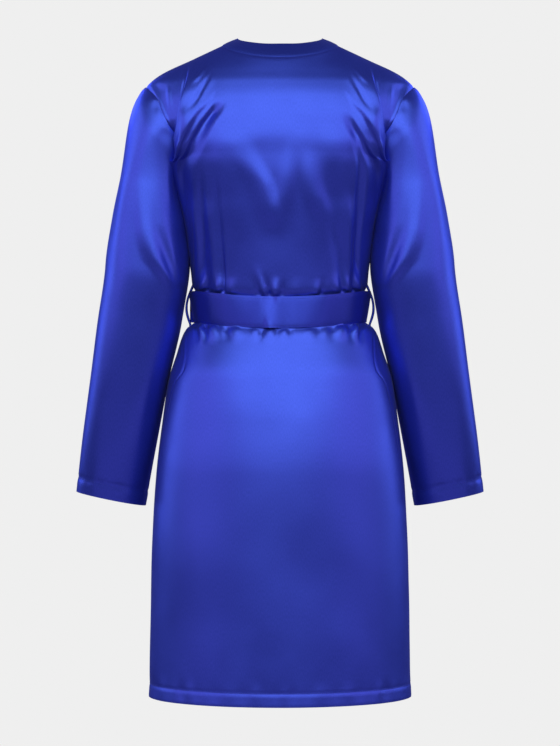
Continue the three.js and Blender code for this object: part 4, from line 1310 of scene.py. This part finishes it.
@dataclass
class Belt:
    """The sash: its stretch round the waist, a flat knot in front and two hanging ends."""

    satin: bpy.types.Material
    around: int = 320
    high: int = 16
    # The soft swells of its back stretch: rise, place across and reach of each.
    swells: tuple[tuple[float, float, float], ...] = (
        (1.4, -16, 34), (0.8, 32, 26), (-0.8, 8, 16), (-0.9, -62, 24), (0.7, -92, 20), (-0.8, 84, 30)
    )
    lean_middle: float = 0.2  # slope at which the crease at its middle leans up
    lean_all: float = 0.03  # slope at which the rest leans down, and how much more its ends do
    lean_ends: float = 0.14
    padding: float = 0.54
    tail_wide: float = 46.0
    tail_gathered: float = 15.0  # a tail's width where it leaves the knot
    tail_apart: float = 12.0  # from the middle to a tail's middle there
    tail_stand: float = 9.5  # how far it hangs clear of the fronts
    knot_stand: float = 7.0  # how far the knot brings it forward
    tail_columns: int = 32
    tail_wall: float = 1.2
    tucked: float = 8.0  # length of a tail that lies inside the knot
    knot_high: float = 28.0
    strand_steps: int = 46
    strand_ring: int = 48
    strand_square: float = 0.8  # under 1 squares a strand's section
    strand_pleat: float = 0.75  # height of the pleats along a strand's face
    strand_ends: tuple[float, float, float] = (0.97, 0.6, 0.25)  # how far each closing ring is drawn in
    tails: tuple[tuple[str, int, float, float], ...] = (("left", LEFT, 34, 430), ("right", RIGHT, 46, 395))

    def surface(self, turn: np.ndarray, z: np.ndarray) -> np.ndarray:
        """Works out points of the belt's outer face before it is lowered.

        Args:
            turn: Angle round from the centre back, from 0 to a whole turn.
            z: Height.

        Returns:
            The points.
        """
        side = np.where(turn <= math.pi, RIGHT, LEFT)
        angle = np.where(turn <= math.pi, turn, 2 * math.pi - turn)
        place = by_angle(side, angle, z)
        out = unit(place * np.array([1, 1, 0]))
        lift = np.where(angle > math.pi / 2, wrap_lift(place[..., 0], BELT_BOTTOM), 0)
        stand = BELT_CLEAR + BELT_WALL + lift
        return place + out * stand[..., None]

    def waist_points(self) -> np.ndarray:
        """Works out the stretch round the waist, softly bent by the gathers under it.

        Returns:
            Rows of points.
        """
        turn = np.arange(self.around) / self.around * 2 * math.pi
        z = np.linspace(BELT_BOTTOM, BELT_TOP, self.high + 1)[:, None]
        turn, z = np.broadcast_arrays(turn, z)
        points = self.surface(turn, z)
        out = unit(points * np.array([1, 1, 0]))
        share = (z - BELT_BOTTOM) / BELT_WIDE
        x = points[..., 0]
        behind = points[..., 1] < 0
        swell = sum(rise * bump(x, at, reach) for rise, at, reach in self.swells)
        front = 0.9 * np.sin(x / 15 + 0.7) * np.sin(x / 37)
        lean = self.lean_middle * bump(x, at=-14, reach=14) - self.lean_all
        lean -= self.lean_ends * climb(np.abs(x + 5), over=40, start=34)
        pivot = np.where(lean < 0, 0.12, 0.5)
        relief = np.where(behind, swell - lean * (share - pivot) * BELT_WIDE, front)
        relief += self.padding * np.sin(math.pi * share)
        edge = np.minimum(share, 1 - share) * BELT_WIDE
        relief += edge_roll(edge, deep=0.5, reach=2.0) + edge_roll(edge - EDGE_STITCH, deep=0.35, reach=0.9)
        return sink(points + out * relief[..., None])

    def build_waist(self) -> None:
        """Builds the stretch round the waist."""
        sheet = Sheet(self.waist_points(), closed=True, crosswise=True)
        piece = make_cloth(sheet, "belt", "satin_belt", self.satin, BELT_WALL * 0.8, outward=(0, 1, 0))

    def strand(
        self,
        name: str,
        path: np.ndarray,
        wide: Curve,
        thick: Curve,
        face: Callable[[float], Vector],
    ) -> bpy.types.Object:
        """Builds one pleated strand of the knot as a closed form.

        Args:
            name: The object's name.
            path: Points along the strand's middle.
            wide: Half width along the strand.
            thick: Half thickness along the strand.
            face: Which way the strand's face looks at a share of its length.

        Returns:
            The object.
        """
        keys = np.linspace(0, 1, len(path))
        along = np.linspace(0, 1, self.strand_steps)
        middle = np.stack([Curve(keys, path[:, i])(along) for i in range(3)], axis=-1)
        run = unit(np.gradient(middle, axis=0))
        rings = []
        around = np.linspace(0, 2 * math.pi, self.strand_ring + 1)[:-1]
        for i, t in enumerate(along):
            up = np.array(face(t))
            up = unit(up - run[i] * (up @ run[i]))
            across = np.cross(run[i], up)
            w, h = float(wide(t)), float(thick(t))
            cosine, sine = np.cos(around), np.sin(around)
            a = np.sign(cosine) * np.abs(cosine) ** self.strand_square * w
            pleat = self.strand_pleat * np.cos(a / w * 7.5 + 0.8 * math.sin(t * 5))
            pleat = pleat * (sine > 0) * np.sqrt(np.abs(sine))
            b = np.sign(sine) * np.abs(sine) ** 0.75 * h + pleat
            rings.append(middle[i] + a[:, None] * across + b[:, None] * up)
        grid = np.array(rings)
        ends = [grid[:1] * (1 - k) + middle[0] * k for k in self.strand_ends]
        tails = [grid[-1:] * (1 - k) + middle[-1] * k for k in reversed(self.strand_ends)]
        grid = np.concatenate([*ends, grid, *tails])
        piece = Sheet(grid, closed=True).build(name, self.satin, np.array([0.0, 1.0, 0.0]))
        close_ends(piece, crease=60)
        return piece

    def front_face(self) -> float:
        """Returns how far in front of the side line the belt's face lies at its middle."""
        return float(self.surface(np.array([math.pi]), np.array([BELT_MIDDLE]))[0, 1])

    def build_knot(self) -> None:
        """Builds the flat knot: a wrap over the middle, and the two crossed strands that it holds."""
        start = np.array([0, self.front_face() + 1, BELT_MIDDLE - BELT_DIP])
        wrap = self.strand(
            "gown_knot_wrap",
            start + ((-13, 3, 23), (-9, 13, 17), (-1, 17, 1), (6, 13, -17), (9, 3, -24)),
            Curve((0, 0.5, 1), (14, 16.5, 13)),
            Curve((0, 0.5, 1), (3.4, 4.2, 3.4)),
            lambda t: Vector((0.1, 0.4 + math.sin(math.pi * t), 1.0 - 2 * t)),
        )
        over = self.strand(
            "gown_knot_over",
            start + ((-27, 3, 2), (-14, 9, 3), (4, 10, 0), (18, 8, -8), (25, 4, -20)),
            Curve((0, 0.3, 1), (18, 16, 11)),
            Curve((0, 0.4, 1), (2.6, 6, 3.2)),
            lambda t: Vector((0.2 * (2 * t - 1), 1, 0)),
        )
        under = self.strand(
            "gown_knot_under",
            start + ((27, 3, 4), (14, 7, 5), (-2, 8, 0), (-13, 8, -12), (-18, 4, -24)),
            Curve((0, 0.3, 1), (17, 15, 11)),
            Curve((0, 0.4, 1), (2.6, 4.6, 3.2)),
            lambda t: Vector((0.2 * (1 - 2 * t), 1, 0)),
        )
        select_only(wrap)
        for other in (over, under):
            other.select_set(True)
        bpy.ops.object.join()
        wrap.name = "gown_belt_knot"
        settle(wrap, "satin_belt", "belt_knot")

    def tail_points(self, side: int, lean: float, long: float) -> np.ndarray:
        """Works out one hanging end of the belt.

        Args:
            side: LEFT or RIGHT.
            lean: How far it swings out by its lower end.
            long: Its length below the knot.

        Returns:
            Rows of points.
        """
        top = BELT_MIDDLE - self.knot_high * 1.035 - 0.3 + self.tucked
        t = np.linspace(0, 1, 141)[:, None]
        c = np.linspace(-1, 1, self.tail_columns + 1)[None, :]
        spread = ramp(t * 4)
        half = (self.tail_gathered + (self.tail_wide - self.tail_gathered) * spread) / 2
        middle = side * (self.tail_apart + (half - self.tail_gathered / 2) * 1.1 + lean * t**1.3)
        x = middle + half * c
        z = np.broadcast_to(top - (long + self.tucked) * t, x.shape)
        skirt = by_place(BEFORE, x, z)[..., 1]
        knot_face = (self.front_face() + self.knot_stand) * (1 - ramp(t * 3))
        hang = np.maximum(skirt + self.tail_stand + WRAP_LIFT, knot_face)
        wave = 3 * np.sin(1.5 + 5 * t) * ramp(t * 3) + 2.2 * spread * np.cos((x - middle) / 9)
        crease = 1.2 * np.cos(c * 9 + 2 * t) * (1 - ramp(t * 2.4)) + 0.5 * np.sin(c * 4 + 9 * t)
        points = np.stack([x, hang + wave + crease, z], axis=-1)
        points[..., 1] -= 0.4 * fade((1 - np.abs(c)) * half - EDGE_STITCH, 1.0)
        return sink(points)

    def build_tails(self) -> None:
        """Builds the two hanging ends."""
        for name, side, lean, long in self.tails:
            sheet, node = Sheet(self.tail_points(side, lean, long)), f"belt_tail_{name}"
            piece = make_cloth(sheet, node, "satin_belt", self.satin, self.tail_wall, outward=(0, 1, 0))


# ---------------------------------------------------------------------------------------------------
# Belt loops


@dataclass
class BeltLoop:
    """A rouleau loop that stands out from the side seam and holds the belt."""

    satin: bpy.types.Material
    side: int
    thick: float = 1.9
    stand: float = 13.5
    top: float = -363.0
    bottom: float = -414.0

    def seat(self, z: float) -> float:
        """Returns how far out the gown's side lies at a height."""
        return float(FIGURE.read("half", z))

    def route(self) -> list[Vector]:
        """Works out the loop's middle line, from its upper seam to its lower one.

        Returns:
            The line's points, in metres.
        """
        out = self.seat(-390) + self.stand
        high = self.top - self.bottom
        stops = (
            (self.seat(self.top + 6) - 1.5, self.top + 8),
            (self.seat(self.top) + 5.0, self.top + 0.5),
            (out - 1.2, self.top - high * 0.3),
            (out, self.top - high * 0.62),
            (out - 3.4, self.bottom + high * 0.13),
            (self.seat(self.bottom - 2) + 1.2, self.bottom - 2),
            (self.seat(self.bottom - 4) - 2.0, self.bottom - 5),
        )
        return [Vector((self.side * x, 0, z)) * MM for x, z in stops]

    def build(self) -> None:
        """Builds the loop as a tube with turned, slightly uneven thickness."""
        name = SIDE_NAMES[self.side]
        line = bpy.data.curves.new(f"gown_loop_{name}", "CURVE")
        line.dimensions = "3D"
        line.bevel_depth = self.thick * MM
        line.bevel_resolution = 5
        line.resolution_u = 14
        spline = line.splines.new("NURBS")
        stops = self.route()
        spline.points.add(len(stops) - 1)
        for i, (point, stop) in enumerate(zip(spline.points, stops)):
            point.co = (*stop, 1.0)
            point.radius = 1.0 + 0.12 * math.sin(i * 2.3)
        spline.order_u = 3
        spline.use_endpoint_u = True
        piece = bpy.data.objects.new(f"gown_belt_loop_{name}", line)
        bpy.context.collection.objects.link(piece)
        select_only(piece)
        bpy.ops.object.convert(target="MESH")
        piece = bpy.context.object
        piece.data.uv_layers.new(name="cloth")
        piece.data.materials.clear()
        piece.data.materials.append(self.satin)
        close_ends(piece, crease=50)
        settle(piece, "satin_cord", f"belt_loop_{name}")


# ---------------------------------------------------------------------------------------------------
# Stitching


@dataclass
class Stitching:
    """Rows of straight stitches, one small thread form copied along each line."""

    thread: bpy.types.Material
    pitch: float = 3.2
    long: float = 2.5
    thick: float = 0.32
    proud: float = 0.12  # how far a stitch's middle stands off the cloth
    tack_at: float = 12.0  # each neck tack's distance from the centre back
    tack_half: float = 2.0
    tack_drop: float = 2.2
    pattern: tuple[np.ndarray, list[tuple[int, ...]]] | None = None

    def model_stitch(self) -> None:
        """Models one stitch as a short round-ended bar and keeps its points and faces."""
        bpy.ops.object.select_all(action="DESELECT")
        bpy.ops.mesh.primitive_uv_sphere_add(segments=6, ring_count=4, radius=0.5)
        stitch = bpy.context.object
        bpy.ops.object.mode_set(mode="EDIT")
        bpy.ops.mesh.select_all(action="SELECT")
        bpy.ops.transform.rotate(value=math.pi / 2, orient_axis="Y", center_override=(0, 0, 0))
        round_ends = self.thick * 1.6
        bpy.ops.transform.resize(value=(self.long, round_ends, round_ends))
        bpy.ops.object.mode_set(mode="OBJECT")
        points = np.array([v.co for v in stitch.data.vertices])
        faces = [tuple(p.vertices) for p in stitch.data.polygons]
        self.pattern = (points, faces)
        mesh = stitch.data
        bpy.data.objects.remove(stitch)
        bpy.data.meshes.remove(mesh)

    def row(self, name: str, line: np.ndarray, normal: np.ndarray, slot: str = "satin") -> None:
        """Lays stitches along a line on the cloth.

        Args:
            name: The object's name.
            line: Points along the line.
            normal: Which way the cloth faces at each point.
            slot: Not used; handed on to settle, which ignores it.
        """
        points, faces = self.pattern
        step = np.concatenate([[0], np.cumsum(np.linalg.norm(np.diff(line, axis=0), axis=-1))])
        marks = np.arange(self.pitch / 2, step[-1], self.pitch)
        middle = np.stack([np.interp(marks, step, line[:, i]) for i in range(3)], axis=-1)
        ahead = np.stack([np.interp(marks + 0.5, step, line[:, i]) for i in range(3)], axis=-1)
        up = np.stack([np.interp(marks, step, normal[:, i]) for i in range(3)], axis=-1)
        run = unit(ahead - middle)
        across = unit(np.cross(up, run))
        up = np.cross(run, across)
        frames = np.stack([run, across, up], axis=1)
        placed = points @ frames + middle[:, None, :] + up[:, None, :] * self.proud
        offset = np.arange(len(marks)) * len(points)
        all_faces = [tuple(i + o for i in f) for o in offset for f in faces]
        mesh = bpy.data.meshes.new(name)
        mesh.from_pydata((placed.reshape(-1, 3) * MM).tolist(), [], all_faces)
        mesh.materials.append(self.thread)
        mesh.shade_smooth()
        piece = bpy.data.objects.new(name, mesh)
        bpy.context.collection.objects.link(piece)
        settle(piece, slot)

    def sew(
        self,
        name: str,
        grid: np.ndarray,
        outward: Callable[[np.ndarray], np.ndarray],
        row: float,
        closed: bool = False,
        slot: str = "satin",
    ) -> None:
        """Lays stitches along one row of a piece's points.

        Args:
            name: The object's name.
            grid: The piece's rows of points.
            outward: Gives a rough outward way for each point.
            row: Which row, or a share of the way to the next.
            closed: Whether the row runs all round.
            slot: Not used; handed on to row, which ignores it.
        """
        line, normal = row_at(grid, grid_normals(grid, outward), row)
        if closed:
            line, normal = (np.concatenate([part, part[:1]]) for part in (line, normal))
        self.row(name, line, normal, slot)


def around_middle(grid: np.ndarray) -> np.ndarray:
    """Returns the way out from the middle of each row of a tube."""
    return grid - grid.mean(axis=1, keepdims=True)


def to_the_front(grid: np.ndarray) -> np.ndarray:
    """Returns the way forward for each point."""
    return np.broadcast_to(np.array([0.0, 1.0, 0.0]), grid.shape)


def grid_normals(grid: np.ndarray, outward: Callable[[np.ndarray], np.ndarray]) -> np.ndarray:
    """Works out the normals of a grid of points, turned to face outwards.

    Args:
        grid: Rows of points.
        outward: Gives a rough outward way for each point.

    Returns:
        A unit normal for each point.
    """
    normal = unit(np.cross(np.gradient(grid, axis=1), np.gradient(grid, axis=0)))
    turn = np.sign((normal * outward(grid)).sum(axis=-1, keepdims=True))
    return normal * np.where(turn == 0, 1, turn)


def row_at(grid: np.ndarray, normals: np.ndarray, row: float) -> tuple[np.ndarray, np.ndarray]:
    """Reads one row of a grid and its normals, between two of its own rows if need be.

    Args:
        grid: Rows of points.
        normals: Their normals.
        row: Which row.

    Returns:
        The row's points and their normals.
    """
    low = int(row)
    share = row - low
    line = grid[low] * (1 - share) + grid[low + 1] * share
    return line, normals[low] * (1 - share) + normals[low + 1] * share


def sew_gown(stitching: Stitching, panels: dict[str, Panel], sleeves: Sequence[Sleeve], belt: Belt) -> None:
    """Sews the rows of stitches that show: hems, cuffs, the belt's edges and the tacks below the band.

    Args:
        stitching: The stitches.
        panels: The body's panels by name.
        sleeves: The left and the right sleeve.
        belt: The belt.
    """
    stitching.model_stitch()
    hem = float(np.interp(HEM_Z + HEM_TURN, PANEL_ROWS, np.arange(len(PANEL_ROWS))))
    for name, panel in panels.items():
        stitching.sew(f"gown_hem_stitches_{name}", panel.shape(), figure_normals, hem)
    for name, sleeve in zip(SIDE_NAMES.values(), sleeves):
        grid = sleeve.shape()
        cuff = len(grid) - 1 - sleeve.cuff_turn / SLEEVE_STEP
        stitching.sew(f"gown_cuff_stitches_{name}", grid, around_middle, cuff, closed=True)
    waist = belt.waist_points()
    edge = EDGE_STITCH / BELT_WIDE
    for name, row in (("lower", edge * belt.high), ("upper", (1 - edge) * belt.high)):
        stitching.sew(f"gown_belt_stitches_{name}", waist, around_middle, row, closed=True, slot="satin_belt")
    for name, side, lean, long in belt.tails:
        grid = belt.tail_points(side, lean, long).transpose(1, 0, 2)
        for place, row in (("inner", edge * belt.tail_columns), ("outer", (1 - edge) * belt.tail_columns)):
            stitching.sew(f"gown_tail_stitches_{name}_{place}", grid, to_the_front, row, slot="satin_belt")
    for side, name in SIDE_NAMES.items():
        span = side * stitching.tack_at + np.array([-stitching.tack_half, stitching.tack_half])
        line = by_place(BEHIND, span, neck_seam_z(span) - stitching.tack_drop)
        stitching.row(f"gown_neck_tack_{name}", line, figure_normals(line))


# ---------------------------------------------------------------------------------------------------
# Studio


@dataclass
class Studio:
    """A pale seamless cove, soft boxes and the camera, in metres."""

    distance: float = 3.5
    eye_z: float = -0.4875
    frame_high: float = 1.119  # what the camera's frame takes in at the gown, from top to bottom
    sensor_mm: float = 36.0
    floor_z: float = -1.45
    cove_radius: float = 7.0
    cove_high: float = 7.0
    # Boxes that stand in pairs: name, right-hand place, width and height, watts and colour.
    pairs: tuple = (
        ("low", (4.9, -7.55, 1.0), (3.8, 1.9), 14, "#F0E2FF"),
        ("mid", (7.7, -4.1, 1.9), (6.5, 5.5), 116, "#F8DEFF"),
        ("side", (7.3, 2.4, 1.9), (6.2, 5.6), 190, "#ECF4FF"),
        ("front", (2.0, 2.6, 1.2), (1.3, 1.3), 22, "#ECFBFF"),
    )

    def build_cove(self) -> None:
        """Builds the floor and the wall all round it as one seamless sweep."""
        bpy.ops.object.select_all(action="DESELECT")
        floor = {"radius": self.cove_radius, "location": (0, 0, self.floor_z)}
        bpy.ops.mesh.primitive_circle_add(vertices=96, fill_type="NGON", **floor)
        cove = bpy.context.object
        cove.name = "studio_cove"
        bpy.ops.object.mode_set(mode="EDIT")
        bpy.ops.mesh.select_all(action="SELECT")
        bpy.ops.mesh.extrude_region_move(TRANSFORM_OT_translate={"value": (0, 0, self.cove_high)})
        bpy.ops.mesh.select_all(action="SELECT")
        bpy.ops.mesh.normals_make_consistent(inside=True)
        bpy.ops.object.mode_set(mode="OBJECT")
        bpy.ops.object.transform_apply(location=True, rotation=True, scale=True)
        cove.data.materials.append(Paper("studio_paper", "#EFEFEF").build())
        cove.visible_glossy = False
        cove.visible_diffuse = False
        cove.visible_shadow = False

    def add_box(
        self,
        name: str,
        place: tuple[float, float, float],
        size: tuple[float, float],
        power: float,
        colour: str,
        shape: str = "RECTANGLE",
    ) -> None:
        """Adds a soft box that looks at the middle of the gown.

        Args:
            name: The light's name.
            place: Where it stands.
            size: Its width and height.
            power: Its power in watts.
            colour: The colour of its light.
            shape: The outline of its face.
        """
        light = bpy.data.lights.new(name, "AREA")
        light.shape = shape
        light.size, light.size_y = size
        light.energy = power
        light.color = linear(colour)[:3]
        box = bpy.data.objects.new(name, light)
        box.location = place
        aim = Vector((0, 0, self.eye_z + 0.05)) - Vector(place)
        box.rotation_euler = aim.to_track_quat("-Z", "Y").to_euler()
        bpy.context.collection.objects.link(box)

    def build_lights(self) -> None:
        """Adds the key above the camera, its weak fills and a dim world."""
        self.add_box("key", (0.0, -7.3, 4.9), (15.4, 11.4), 820, "#E6FFFC", "ELLIPSE")
        self.add_box("low_fill", (0.0, -9.0, -0.3), (36.0, 1.8), 94, "#F4D2FF")
        self.add_box("floor_bounce", (0.0, -6.0, -4.8), (16.0, 3.0), 54, "#F4D2FF")
        for kind, (x, y, z), size, power, colour in self.pairs:
            for side, name in SIDE_NAMES.items():
                self.add_box(f"{kind}_{name}", (side * x, y, z), size, power, colour)
        world = bpy.data.worlds.new("studio_air")
        bpy.context.scene.world = world
        world.use_nodes = True
        air = world.node_tree.nodes["Background"]
        air.inputs["Color"].default_value = linear("#5A5278")
        air.inputs["Strength"].default_value = 0.85

    def build_camera(self) -> None:
        """Adds the camera behind the gown, level with its middle."""
        camera = bpy.data.cameras.new("camera")
        camera.sensor_width = self.sensor_mm
        camera.lens = self.sensor_mm * self.distance / self.frame_high
        eye = bpy.data.objects.new("camera", camera)
        eye.location = (0, -self.distance, self.eye_z)
        eye.rotation_euler = (math.radians(90), 0, 0)
        bpy.context.collection.objects.link(eye)
        bpy.context.scene.camera = eye

    def build(self) -> None:
        """Builds the whole studio."""
        self.build_cove()
        self.build_lights()
        self.build_camera()
        bpy.context.scene.view_settings.view_transform = "Standard"


def main() -> None:
    """Builds the gown's pieces in order and reports each."""
    logging.basicConfig(level=logging.INFO, format="%(message)s")
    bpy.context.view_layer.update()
    Studio().build()
    panel = Satin("satin_royal_blue", "#4857CA", "#3E4FBA").build()
    band = Satin("satin_royal_blue_band", "#4150BE", "#3949AF", Handle.DOUBLE).build()
    # The sash's copy of the satin is set darker than the panels' to stand in for the shade the belt falls in:
    # painted shade.
    sash = Satin("satin_royal_blue_sash", "#424FC4", "#3A48B6", Handle.SASH).build()
    cord = Satin("satin_royal_blue_cord", "#3D4BB4", "#3443A4", Handle.CORD).build()
    thread = Thread("sewing_thread_blue", "#2A38B4").build()

    back = Back(panel)
    back.build()
    fronts = [Front(panel, side=LEFT, seed=23), Front(panel, side=RIGHT, seed=29)]
    for front in fronts:
        front.build()
    sleeves = [Sleeve(panel, LEFT), Sleeve(panel, RIGHT)]
    for sleeve in sleeves:
        sleeve.build()
    Neckband(band).build()
    belt = Belt(sash)
    belt.build_waist()
    belt.build_knot()
    belt.build_tails()
    for side in (LEFT, RIGHT):
        BeltLoop(cord, side).build()
    panels = {"back": back, "front_left": fronts[0], "front_right": fronts[1]}
    sew_gown(Stitching(thread), panels, sleeves, belt)


if __name__ == "__main__":
    main()
